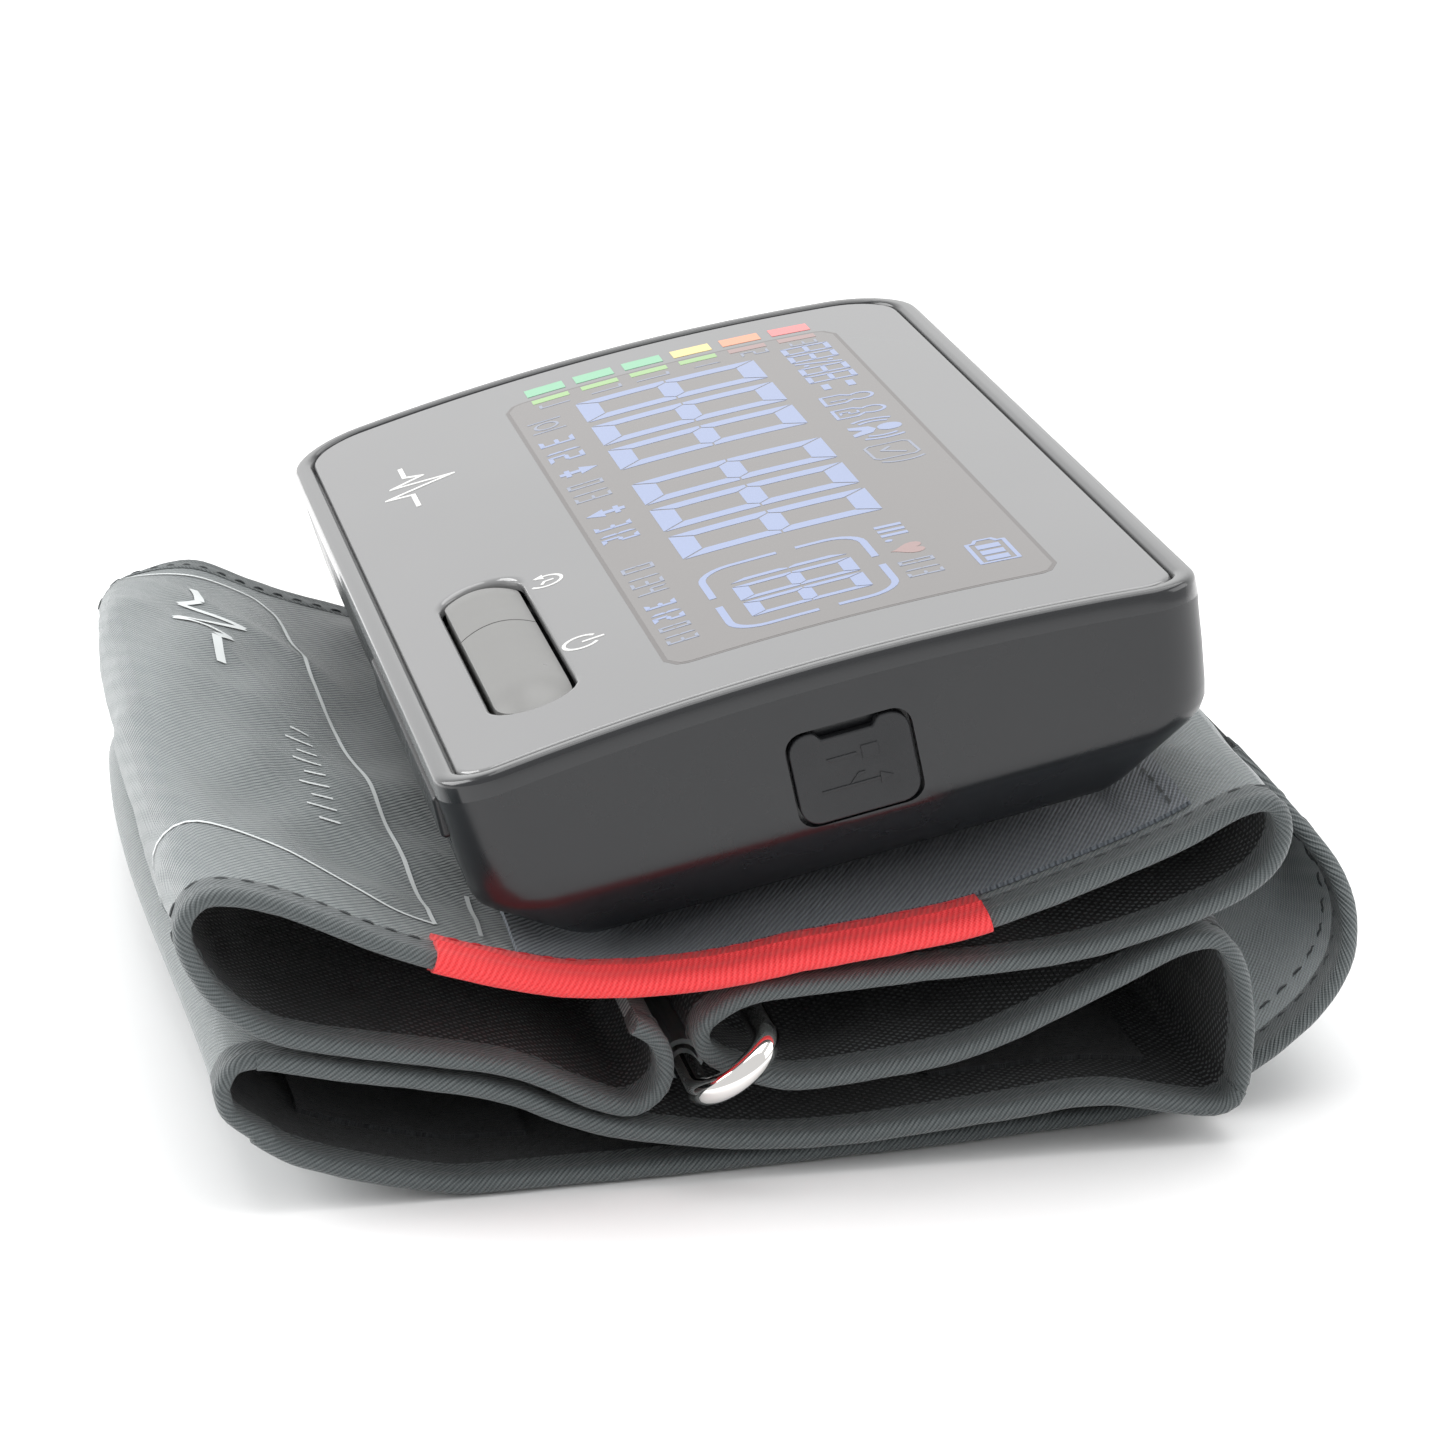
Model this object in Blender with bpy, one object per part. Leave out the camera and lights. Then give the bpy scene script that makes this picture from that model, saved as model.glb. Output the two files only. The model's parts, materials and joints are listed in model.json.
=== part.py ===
"""Upper arm blood pressure monitor: a tilted one-piece monitor on a folded D-ring cuff.

World frame: metres, +Z up, the cuff's lowest layer on z = 0.  +X runs along the display's reading
direction and across the cuff's width, +Y runs up the display and along the cuff's strip.
The monitor leans up towards +Y by CASE_TILT, on the empty "case_frame".
"""
import math

import bmesh
import bpy
from mathutils import Matrix, Vector

MM = 0.001

# ---------------------------------------------------------------- driving dimensions (mm)
CASE_LENGTH = 131.2          # along X
CASE_WIDTH = 75.7            # along Y
CASE_TILT = math.radians(12.7)
CASE_POSITION = (0.0, 3.2, 49.3)
CASE_BOTTOM = -22.9          # underside of the base housing, in the case's own frame
CORNER_FAR = 9.0             # plan corner radius at -X
CORNER_NEAR = 6.0            # plan corner radius at +X
WALL = 2.0
GAP = 0.3
ARCH_CREST = 1.3             # height of the front panel's crest
ARCH_RADIUS = 302.0          # the panel is a cylinder about X
RIM_WIDTH = 2.1
PANEL_THICKNESS = 1.2

# (height, inset from the plan outline, added corner radius) down the base housing's outside
BASE_LEVELS = ((4.0, 0.0, 0.0), (-3.0, 0.15, 0.0), (-13.9, 0.95, 1.5), (-15.2, 1.9, 2.5),
               (-21.4, 9.0, 6.0), (CASE_BOTTOM, 11.5, 7.0))
WALL_LEAN = math.atan2(0.80, 10.9)

LCD_CENTRE = (0.45, 6.9)
LCD_WINDOW = (106.2, 39.7)
LCD_LEAN = math.radians(-2.7)
KEY_CENTRE = (29.8, -25.65)
KEY_OPENING = (42.4, 8.4)
KEY_SPLIT = 25.0
KEY_TRAVEL = 0.5

PORT_COVER_CENTRE = (0.95, -9.6)   # y and z on the +X wall
PORT_COVER_SIZE = (11.9, 9.4)

BOARD_TOP = -8.4
BOARD_THICKNESS = 1.2
PUMP_AXIS = (-22.0, -12.8)         # y and z
MOTOR_RADIUS = 7.0
NOZZLE_AT = (10.0, -2.0)

STRIP_FRONT = 66.5           # the cuff's front edge, at +X
STRIP_REAR = -60.5
STRIP_HALF_THICKNESS = 0.9
BINDING_WIDTH = 4.0
PLY_GAP = 0.2
SKEW = 11.0                  # how far the free end runs off towards -X
TIP_RADIUS = 26.0            # plan rounding of the free end

D_RING_WIRE = 1.25
D_RING_LOWER = (-9.3, 9.4)   # y and z of the bar in its sleeve
D_RING_UPPER = (-2.6, 14.3)
D_RING_FRONT = 70.3
D_RING_REAR = -64.3

FOLD_PIVOT = (46.4, 4.6)    # y and z of the axis the right-lower fold opens about
END_PIVOT = (-56.3, 12.3)    # y and z of the axis the left-lower fold opens about

# Centre lines of the folded strip, as (y, z) points that its curves pass through.
MAIN_LINE = ((-15.3, 16.0), (-13.3, 14.6), (-12.3, 12.3), (-12.9, 9.4), (-15.6, 7.7), (-19.4, 8.8),
             (-28.0, 12.8), (-43.0, 15.8), (-50.5, 18.1), (-55.6, 22.6), (-57.9, 28.2), (-56.2, 31.3),
             (-52.6, 31.4), (-47.0, 29.5), (-37.7, 25.2), (-28.2, 21.9), (-18.7, 18.9), (-11.0, 18.6),
             (0.6, 21.4), (10.4, 22.8), (18.7, 24.2), (30.2, 28.0), (38.0, 31.0), (44.0, 34.0),
             (47.4, 34.2), (48.4, 31.0), (46.2, 27.0), (39.5, 23.6), (27.4, 20.4), (10.4, 19.3),
             (0.6, 18.6), (-5.2, 17.5), (-8.4, 15.8), (-8.6, 13.2), (-5.6, 11.0), (0.0, 9.3),
             (8.0, 9.7), (18.4, 11.5), (30.4, 16.6), (38.4, 20.3), (42.6, 20.4), (44.6, 16.8),
             (45.2, 12.2), (45.2, 8.6), (44.95, 5.7))
FOLD_LINE = ((44.75, 5.0), (44.2, 4.0), (42.2, 3.3), (38.3, 3.9), (30.6, 5.3),
             (20.0, 4.4), (5.7, 3.2), (-5.2, 3.5), (-15.0, 5.2), (-21.0, 6.9), (-29.5, 10.5),
             (-43.0, 13.3), (-50.4, 15.0), (-53.5, 14.6), (-54.6, 12.8))
END_LINE = ((-54.6, 11.9), (-53.8, 9.7), (-47.2, 5.2), (-34.2, 1.7), (-26.0, 0.9), (0.0, 0.9),
            (32.0, 0.9), (42.6, 1.2), (48.5, 3.4), (54.6, 8.0), (57.6, 12.6), (57.6, 18.4),
            (53.2, 25.0))
MARKER_SPAN = ((-34.5, 23.8), (18.9, 24.2))
PATCH_SPAN = ((-25.3, 21.7), (41.0, 32.4))
BLADDER_SPAN = ((-28.0, 12.8), (36.0, 30.2))
LOOP_PATCH_SPAN = ((38.3, 3.9), (16.0, 4.0))
HOOK_PATCH_SPAN = ((-46.5, 4.9), (-24.0, 0.9))


# ---------------------------------------------------------------- materials
COLOURS = {
    "panel_acrylic": ((0.045, 0.047, 0.050), 0.08, 0.0),
    "rim_gloss": ((0.050, 0.050, 0.055), 0.12, 0.3),
    "case_satin": ((0.030, 0.031, 0.033), 0.35, 0.0),
    "key_satin": ((0.42, 0.41, 0.40), 0.30, 0.2),
    "rubber_black": ((0.025, 0.026, 0.027), 0.60, 0.0),
    "lcd_glass": ((0.36, 0.34, 0.33), 0.10, 0.0),
    "white_plastic": ((0.75, 0.75, 0.73), 0.45, 0.0),
    "board_green": ((0.03, 0.16, 0.07), 0.40, 0.0),
    "chip_black": ((0.02, 0.02, 0.02), 0.45, 0.0),
    "steel": ((0.60, 0.60, 0.60), 0.28, 1.0),
    "brass": ((0.70, 0.52, 0.20), 0.30, 1.0),
    "silicone": ((0.70, 0.70, 0.68), 0.50, 0.0),
    "battery_wrap": ((0.04, 0.20, 0.42), 0.40, 0.0),
    "foam": ((0.12, 0.12, 0.12), 0.90, 0.0),
    "chrome": ((0.80, 0.79, 0.78), 0.06, 1.0),
    "nylon_grey": ((0.095, 0.120, 0.125), 0.55, 0.0),
    "mesh_black": ((0.012, 0.014, 0.016), 0.75, 0.0),
    "pile_black": ((0.010, 0.012, 0.013), 0.95, 0.0),
    "patch_blue": ((0.060, 0.085, 0.105), 0.60, 0.0),
    "binding_grey": ((0.110, 0.125, 0.125), 0.70, 0.0),
    "tape_red": ((0.80, 0.035, 0.050), 0.60, 0.0),
    "bladder_film": ((0.55, 0.57, 0.60), 0.35, 0.0),
}


def material(name):
    """The named Principled material, made on first use."""
    found = bpy.data.materials.get(name)
    if found:
        return found
    colour, roughness, metallic = COLOURS[name]
    made = bpy.data.materials.new(name)
    made.use_nodes = True
    shader = made.node_tree.nodes["Principled BSDF"]
    shader.inputs["Base Color"].default_value = (*colour, 1.0)
    shader.inputs["Roughness"].default_value = roughness
    shader.inputs["Metallic"].default_value = metallic
    made.diffuse_color = (*colour, 1.0)
    return made


# ---------------------------------------------------------------- building blocks
def clear_scene():
    for item in list(bpy.data.objects):
        bpy.data.objects.remove(item, do_unlink=True)


def finish_mesh(bm):
    """Scales a mesh from millimetres to metres and points its faces outwards."""
    bmesh.ops.scale(bm, vec=(MM, MM, MM), verts=bm.verts)
    bmesh.ops.recalc_face_normals(bm, faces=bm.faces)


def add_object(name, bm, finish, parent=None, at=(0, 0, 0), turn=None, smooth=True):
    finish_mesh(bm)
    mesh = bpy.data.meshes.new(name)
    bm.to_mesh(mesh)
    bm.free()
    item = bpy.data.objects.new(name, mesh)
    bpy.context.scene.collection.objects.link(item)
    item.parent = parent
    item.location = Vector(at) * MM
    if turn:
        item.rotation_euler = turn
    if finish:
        mesh.materials.append(material(finish))
    if smooth:
        mesh.shade_smooth()
        mesh.set_sharp_from_angle(angle=math.radians(32))
    return item


def add_tool(name, bm, parent=None, at=(0, 0, 0), turn=None):
    """A hidden body that only cuts or joins others."""
    tool = add_object("tool_" + name, bm, None, parent, at, turn, smooth=False)
    tool.hide_render = True
    tool.display_type = "WIRE"
    return tool


def combine(item, tool, operation):
    modifier = item.modifiers.new(tool.name, "BOOLEAN")
    modifier.operation = operation
    modifier.solver = "EXACT"
    modifier.object = tool


def add_empty(name, at, turn):
    item = bpy.data.objects.new(name, None)
    bpy.context.scene.collection.objects.link(item)
    item.location = Vector(at) * MM
    item.rotation_euler = turn
    return item


def loft(loops):
    """A closed body through loops of equal length, capped at both ends."""
    bm = bmesh.new()
    rings = [[bm.verts.new(point) for point in loop] for loop in loops]
    count = len(rings[0])
    for lower, upper in zip(rings, rings[1:]):
        for i in range(count):
            j = (i + 1) % count
            bm.faces.new((lower[i], lower[j], upper[j], upper[i]))
    bm.faces.new(rings[0][::-1])
    bm.faces.new(rings[-1])
    return bm


def prism(outline, low, high):
    return loft([[(x, y, low) for x, y in outline], [(x, y, high) for x, y in outline]])


def arc(centre, radius, start, end, steps):
    """Points on an arc, angles in degrees."""
    points = []
    for i in range(steps + 1):
        angle = math.radians(start + (end - start) * i / steps)
        points.append((centre[0] + radius * math.cos(angle), centre[1] + radius * math.sin(angle)))
    return points


def rounded_outline(length, width, near, far, steps=5, centre=(0.0, 0.0)):
    """A rectangle with its own corner radii at +X (near) and -X (far), counter-clockwise."""
    hx, hy = length / 2, width / 2
    cx, cy = centre
    points = arc((cx + hx - near, cy - hy + near), near, -90, 0, steps)
    points += arc((cx + hx - near, cy + hy - near), near, 0, 90, steps)
    points += arc((cx - hx + far, cy + hy - far), far, 90, 180, steps)
    points += arc((cx - hx + far, cy - hy + far), far, 180, 270, steps)
    return points


def case_outline(inset, added=0.0):
    """The case's plan outline, moved in by inset."""
    near = max(CORNER_NEAR - inset + added, 1.0)
    far = max(CORNER_FAR - inset + added, 1.0)
    return rounded_outline(CASE_LENGTH - 2 * inset, CASE_WIDTH - 2 * inset, near, far)


def arch_height(y):
    return ARCH_CREST - y * y / (2 * ARCH_RADIUS)


def extrude_profile(profile, x0, x1):
    """Extrudes a closed (y, z) profile along X."""
    return loft([[(x0, y, z) for y, z in profile], [(x1, y, z) for y, z in profile]])


def arched_block(top, bottom, steps=10):
    """A block between two copies of the panel's arch, moved up by top and bottom."""
    half = CASE_WIDTH / 2 + 4
    ys = [-half + 2 * half * i / steps for i in range(steps + 1)]
    upper = [(y, arch_height(y) + top) for y in ys]
    lower = [(y, arch_height(y) + bottom) for y in reversed(ys)]
    return extrude_profile(lower + upper, -CASE_LENGTH / 2 - 4, CASE_LENGTH / 2 + 4)


def box(size, centre=(0, 0, 0)):
    bm = bmesh.new()
    bmesh.ops.create_cube(bm, size=1.0)
    bmesh.ops.scale(bm, vec=size, verts=bm.verts)
    bmesh.ops.translate(bm, vec=centre, verts=bm.verts)
    return bm


def turned(profile, steps, axis="Z"):
    """A solid of revolution from (radius, height) points with both ends on the axis or closed."""
    loops = []
    for radius, height in profile:
        loop = []
        for i in range(steps):
            angle = 2 * math.pi * i / steps
            loop.append((radius * math.cos(angle), radius * math.sin(angle), height))
        loops.append(loop)
    bm = loft(loops)
    if axis == "X":
        bmesh.ops.rotate(bm, cent=(0, 0, 0), matrix=Matrix.Rotation(math.pi / 2, 3, "Y"), verts=bm.verts)
    return bm


def ring_profile(outer, inner, low, high, steps, axis="Z"):
    """A plain tube: outer and inner radius, from low to high."""
    bm = bmesh.new()
    rings = []
    for radius, height in ((outer, low), (outer, high), (inner, high), (inner, low)):
        ring = []
        for i in range(steps):
            angle = 2 * math.pi * i / steps
            ring.append(bm.verts.new((radius * math.cos(angle), radius * math.sin(angle), height)))
        rings.append(ring)
    for k in range(4):
        a, b = rings[k], rings[(k + 1) % 4]
        for i in range(steps):
            j = (i + 1) % steps
            bm.faces.new((a[i], a[j], b[j], b[i]))
    if axis == "X":
        bmesh.ops.rotate(bm, cent=(0, 0, 0), matrix=Matrix.Rotation(math.pi / 2, 3, "Y"), verts=bm.verts)
    return bm


def smooth_line(points, per_span=4, closed=False):
    """A Catmull-Rom curve through points, each span cut into per_span pieces."""
    result = []
    count = len(points)
    spans = count if closed else count - 1
    for i in range(spans):
        if closed:
            p0, p1, p2, p3 = (Vector(points[(i + k) % count]) for k in (-1, 0, 1, 2))
        else:
            p1, p2 = Vector(points[i]), Vector(points[i + 1])
            p0 = Vector(points[i - 1]) if i else 2 * p1 - p2
            p3 = Vector(points[i + 2]) if i + 2 < count else 2 * p2 - p1
        for step in range(per_span):
            t = step / per_span
            a = 2 * p1
            b = (p2 - p0) * t
            c = (2 * p0 - 5 * p1 + 4 * p2 - p3) * t * t
            d = (3 * p1 - p0 - 3 * p2 + p3) * t ** 3
            result.append((a + b + c + d) / 2)
    if not closed:
        result.append(Vector(points[-1]))
    return result


def hose(points, outer, inner, sides=8, per_span=4):
    """A bent tube, open at both ends, along a smooth line."""
    line = smooth_line([Vector(p) for p in points], per_span)
    bm = bmesh.new()
    rings = []
    side = Vector((0, 0, 1))
    for i, point in enumerate(line):
        ahead = line[min(i + 1, len(line) - 1)] - line[max(i - 1, 0)]
        ahead.normalize()
        side = (side - ahead * side.dot(ahead)).normalized() if abs(side.dot(ahead)) < 0.98 else \
            ahead.orthogonal().normalized()
        other = ahead.cross(side)
        pair = []
        for radius in (outer, inner):
            ring = []
            for k in range(sides):
                angle = 2 * math.pi * k / sides
                offset = side * math.cos(angle) * radius + other * math.sin(angle) * radius
                ring.append(bm.verts.new(point + offset))
            pair.append(ring)
        rings.append(pair)
    for (outer_a, inner_a), (outer_b, inner_b) in zip(rings, rings[1:]):
        for k in range(sides):
            m = (k + 1) % sides
            bm.faces.new((outer_a[k], outer_a[m], outer_b[m], outer_b[k]))
            bm.faces.new((inner_a[m], inner_a[k], inner_b[k], inner_b[m]))
    for pair, flip in ((rings[0], True), (rings[-1], False)):
        for k in range(sides):
            m = (k + 1) % sides
            quad = (pair[0][k], pair[0][m], pair[1][m], pair[1][k])
            bm.faces.new(quad[::-1] if flip else quad)
    return bm


# ---------------------------------------------------------------- the case
def add_base_housing(frame):
    """The lower shell: leaning walls, a bevelled skirt and a flat underside."""
    outside = [[(x, y, z) for x, y in case_outline(inset, added)] for z, inset, added in BASE_LEVELS]
    base = add_object("base_housing", loft(outside), "case_satin", frame)
    inside = []
    for z, inset, added in BASE_LEVELS[:-1]:
        inside.append([(x, y, z) for x, y in case_outline(inset + WALL, added)])
    inside[0] = [(x, y, 9.0) for x, y in case_outline(WALL)]
    floor = CASE_BOTTOM + WALL
    inside[-1] = [(x, y, floor) for x, y in case_outline(9.6 + WALL, 6.0)]
    combine(base, add_tool("cavity", loft(inside), frame), "DIFFERENCE")
    combine(base, add_tool("above_base", arched_block(12.0, -2.1), frame), "DIFFERENCE")
    for i, (x, y) in enumerate(MOUNT_SCREWS):
        boss = turned(((3.0, floor - 1.0), (3.0, floor + 4.5)), 12)
        combine(base, add_tool(f"boss_{i}", boss, frame, (x, y, 0)), "UNION")
        hole = turned(((1.15, CASE_BOTTOM - 1), (1.15, floor + 3.5)), 10)
        combine(base, add_tool(f"boss_hole_{i}", hole, frame, (x, y, 0)), "DIFFERENCE")
    for i, (x, y) in enumerate(BOARD_SCREWS):
        top = BOARD_TOP - BOARD_THICKNESS - GAP
        post = turned(((2.4, floor - 1.0), (2.0, top)), 12)
        combine(base, add_tool(f"post_{i}", post, frame, (x, y, 0)), "UNION")
        hole = turned(((0.9, top - 5.0), (0.9, top + 1.0)), 10)
        combine(base, add_tool(f"post_hole_{i}", hole, frame, (x, y, 0)), "DIFFERENCE")
    pad = box((47.0, 2.2, 4.6), (34.5, -CASE_WIDTH / 2 + 0.3, -5.6))
    combine(base, add_tool("side_pad", pad, frame), "UNION")
    slot = box((9.0, 1.4, 1.2), (52.0, -CASE_WIDTH / 2 + 0.2, -8.7))
    combine(base, add_tool("vent_slot", slot, frame), "DIFFERENCE")
    nozzle_hole = turned(((3.3, CASE_BOTTOM - 1), (3.3, floor + 1)), 16)
    combine(base, add_tool("nozzle_hole", nozzle_hole, frame, (*NOZZLE_AT, 0)), "DIFFERENCE")
    add_port_recess(base, frame)
    return base


def port_cover_outline(grow):
    """The port cover's outline, with the finger notch in its upper edge, as (y, height) points."""
    width, height = PORT_COVER_SIZE
    half, top, radius = width / 2 + grow, height + grow, 1.9
    points = arc((-half + radius, radius - grow), radius, 180, 270, 4)
    points += arc((half - radius, radius - grow), radius, 270, 360, 4)
    points += arc((half - radius, top - radius), radius, 0, 90, 4)
    if grow <= 0:
        points += [(3.1, top), (2.5, top - 0.9), (-2.7, top - 0.9), (-3.3, top)]
    points += arc((-half + radius, top - radius), radius, 90, 180, 4)
    return points


def wall_x(z):
    """X of the +X wall's outer face at a height in the case frame."""
    return CASE_LENGTH / 2 - 0.15 + (z + 3.0) * 0.80 / 10.9


def add_port_recess(base, frame):
    centre_y, centre_z = PORT_COVER_CENTRE
    foot = centre_z - PORT_COVER_SIZE[1] / 2
    at = (wall_x(foot), centre_y, foot)
    outline = port_cover_outline(GAP)
    recess = loft([[(-1.3, y, z) for y, z in outline], [(2.0, y, z) for y, z in outline]])
    combine(base, add_tool("port_recess", recess, frame, at, (0, WALL_LEAN, 0)), "DIFFERENCE")
    slot = box((8.0, 9.6, 4.6), (0, 0, 4.7))
    combine(base, add_tool("port_slot", slot, frame, at), "DIFFERENCE")


def add_port_cover(frame):
    """The rubber cover over the charging port; its origin is on the hinge line at its foot."""
    centre_y, centre_z = PORT_COVER_CENTRE
    foot = centre_z - PORT_COVER_SIZE[1] / 2
    outline = port_cover_outline(0.0)
    body = loft([[(-1.0, y, z) for y, z in outline], [(0.0, y, z) for y, z in outline]])
    at = (wall_x(foot), centre_y, foot)
    cover = add_object("usb_port_cover", body, "rubber_black", frame, at, (0, WALL_LEAN, 0))
    plug = box((1.6, 7.2, 1.8), (-1.7, 0, 4.7))
    combine(cover, add_tool("cover_plug", plug, frame, at, (0, WALL_LEAN, 0)), "UNION")


def key_outline(x0, x1, round_start, round_end, shrink):
    """A key's plan outline: straight or half-round at either end."""
    half = KEY_OPENING[1] / 2 - shrink
    y = KEY_CENTRE[1]
    points = []
    if round_end:
        points += arc((x1 - half, y), half, -90, 90, 10)
    else:
        points += [(x1, y - half), (x1, y + half)]
    if round_start:
        points += arc((x0 + half, y), half, 90, 270, 10)
    else:
        points += [(x0, y + half), (x0, y - half)]
    return points


def key_ends():
    x0 = KEY_CENTRE[0] - KEY_OPENING[0] / 2
    return x0, x0 + KEY_OPENING[0]


def add_top_cover(frame):
    """The upper shell: the rim that shows round the panel, and the plate under the panel."""
    cover = add_object("top_cover", prism(case_outline(0.0), -8, 6), "rim_gloss", frame)
    combine(cover, add_tool("rim_band", arched_block(0.15, -1.8), frame), "INTERSECT")
    plate = add_tool("plate", prism(case_outline(WALL + GAP), -8, 6), frame)
    combine(plate, add_tool("plate_band", arched_block(-1.6, -3.0), frame), "INTERSECT")
    combine(cover, plate, "UNION")
    recess = add_tool("panel_recess", prism(case_outline(RIM_WIDTH), -8, 6), frame)
    combine(recess, add_tool("recess_band", arched_block(12.0, -1.5), frame), "INTERSECT")
    combine(cover, recess, "DIFFERENCE")
    window = box((LCD_WINDOW[0] + 2.6, LCD_WINDOW[1] + 2.6, 20), (*LCD_CENTRE, 0))
    combine(cover, add_tool("lcd_opening", window, frame), "DIFFERENCE")
    x0, x1 = key_ends()
    opening = prism(key_outline(x0, x1, True, True, 0.0), -12, 8)
    combine(cover, add_tool("key_opening", opening, frame), "DIFFERENCE")


def add_front_panel(frame):
    """The glossy panel over the display, with the keys' opening through it."""
    panel = add_object("front_panel", prism(case_outline(RIM_WIDTH + GAP), -8, 6), "panel_acrylic", frame)
    combine(panel, add_tool("panel_band", arched_block(0.0, -PANEL_THICKNESS), frame), "INTERSECT")
    x0, x1 = key_ends()
    opening = prism(key_outline(x0, x1, True, True, 0.0), -12, 8)
    combine(panel, add_tool("panel_key_opening", opening, frame), "DIFFERENCE")


def key_profile():
    """The keys' barrel-shaped section, as (y, z) points, with a flat foot."""
    y0 = KEY_CENTRE[1]
    half = KEY_OPENING[1] / 2 + 1
    crest = arch_height(y0) + 0.6
    points = [(y0 - half, -5.3), (y0 + half, -5.3)]
    for i in range(9):
        y = half - 2 * half * i / 8
        points.append((y0 + y, crest - y * y / 19.0))
    return points


def add_keys(frame):
    x0, x1 = key_ends()
    shrink = GAP
    spans = (("mem_button", x0 + shrink, KEY_SPLIT - 0.15, True, False),
             ("power_button", KEY_SPLIT + 0.15, x1 - shrink, False, True))
    for name, start, end, round_start, round_end in spans:
        outline = key_outline(start, end, round_start, round_end, shrink)
        key = add_object(name, prism(outline, -9, 6), "key_satin", frame)
        barrel = extrude_profile(key_profile(), x0 - 5, x1 + 5)
        combine(key, add_tool(name + "_barrel", barrel, frame), "INTERSECT")


def add_display(frame):
    """The display glass, the light guide behind it and the strip that joins it to the board."""
    cx, cy = LCD_CENTRE
    lean = (LCD_LEAN, 0, 0)
    glass = box((106.8, 40.4, 1.8), (0, 0, -0.9))
    add_object("lcd_glass", glass, "lcd_glass", frame, (cx, cy, -1.5), lean)
    guide = rounded_outline(105.0, 40.0, 2.0, 2.0, 3)
    add_object("lcd_light_guide", prism(guide, -4.6, -2.1), "white_plastic", frame, (cx, cy, -1.5), lean)
    strip = box((92.0, 1.6, 2.0), (cx, -11.8, -7.2))
    add_object("lcd_contact_strip", strip, "rubber_black", frame)


SWITCH_X = (16.9, 38.0)
MOUNT_SCREWS = ((-36.0, -11.0), (-36.0, 17.0), (36.0, -11.0), (36.0, 17.0))
BOARD_SCREWS = ((-48.0, 20.0), (49.0, 20.0), (49.0, -19.0))


def add_board(frame):
    """The L-shaped main board and what is soldered to it."""
    outline = ((5.0, -31.0), (56.0, -31.0), (56.0, 29.0), (-55.0, 29.0), (-55.0, -12.5), (5.0, -12.5))
    bottom = BOARD_TOP - BOARD_THICKNESS
    board = add_object("main_board", prism(outline, bottom, BOARD_TOP), "board_green", frame, smooth=False)
    for i, (x, y) in enumerate(BOARD_SCREWS):
        hole = turned(((1.4, bottom - 1), (1.4, BOARD_TOP + 1)), 12)
        combine(board, add_tool(f"board_hole_{i}", hole, frame, (x, y, 0)), "DIFFERENCE")
        screw = turned(((0.75, -5.6), (0.75, 0.0), (1.9, 0.0), (1.9, 0.9), (1.3, 1.2)), 12)
        at = (x, y, BOARD_TOP + 0.2)
        add_object(f"board_screw_{i + 1}", screw, "steel", frame, at)
    for name, x in zip(("mem", "power"), SWITCH_X):
        at = (x, KEY_CENTRE[1], BOARD_TOP + 0.2)
        body = box((6.0, 6.0, 1.7), (0, 0, 0.85))
        switch = add_object(name + "_switch_body", body, "chip_black", frame, at, smooth=False)
        well = turned(((1.5, 0.5), (1.5, 3.0)), 12)
        combine(switch, add_tool(name + "_well", well, frame, at), "DIFFERENCE")
        stem = turned(((1.3, 1.15), (1.3, 2.75)), 12)
        add_object(name + "_switch_stem", stem, "white_plastic", frame, at)
    under = bottom - 0.2
    chip = box((10.0, 10.0, 1.4), (0, 0, -0.7))
    add_object("processor_chip", chip, "chip_black", frame, (30.0, 16.0, under), smooth=False)
    sensor = box((7.0, 7.0, 2.4), (0, 0, -1.2))
    port = turned(((0.95, -5.2), (0.95, -1.5)), 10)
    at = (24.0, -14.0, under)
    body = add_object("pressure_sensor", sensor, "white_plastic", frame, at, smooth=False)
    combine(body, add_tool("sensor_port", port, frame, at), "UNION")
    buzzer = turned(((4.5, -3.0), (4.5, 0.0)), 20)
    add_object("buzzer", buzzer, "chip_black", frame, (-46.0, 0.0, under))
    socket = box((6.4, 7.6, 2.8), (0, 0, -1.4))
    add_object("usb_socket", socket, "steel", frame, (57.0, PORT_COVER_CENTRE[0], under), smooth=False)


def add_pump(frame):
    """The air pump along X: motor in a rubber sleeve, crank, and pump head with its outlet."""
    y, z = PUMP_AXIS
    motor = turned(((MOTOR_RADIUS - 0.6, -52.6), (MOTOR_RADIUS, -52.0), (MOTOR_RADIUS, -31.0)), 24, "X")
    add_object("pump_motor", motor, "steel", frame, (0, y, z))
    sleeve = ring_profile(MOTOR_RADIUS + 0.75, MOTOR_RADIUS + 0.15, -49.0, -37.0, 24, "X")
    add_object("pump_sleeve", sleeve, "foam", frame, (0, y, z))
    crank = turned(((4.6, -1.3), (4.6, 0.3)), 20, "X")
    at = (-29.2, y, z)
    body = add_object("pump_crank", crank, "white_plastic", frame, at)
    pin = turned(((1.0, 0.0), (1.0, 1.6)), 10, "X")
    combine(body, add_tool("crank_pin", pin, frame, (at[0], y + 2.6, z)), "UNION")
    head = turned(((7.2, -26.8), (7.2, -16.0), (6.0, -15.0)), 24, "X")
    pump = add_object("pump_head", head, "white_plastic", frame, (0, y, z))
    outlet = turned(((0.95, -16.0), (0.95, -11.0)), 10, "X")
    combine(pump, add_tool("pump_outlet", outlet, frame, (0, y, z + 3.0)), "UNION")


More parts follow.
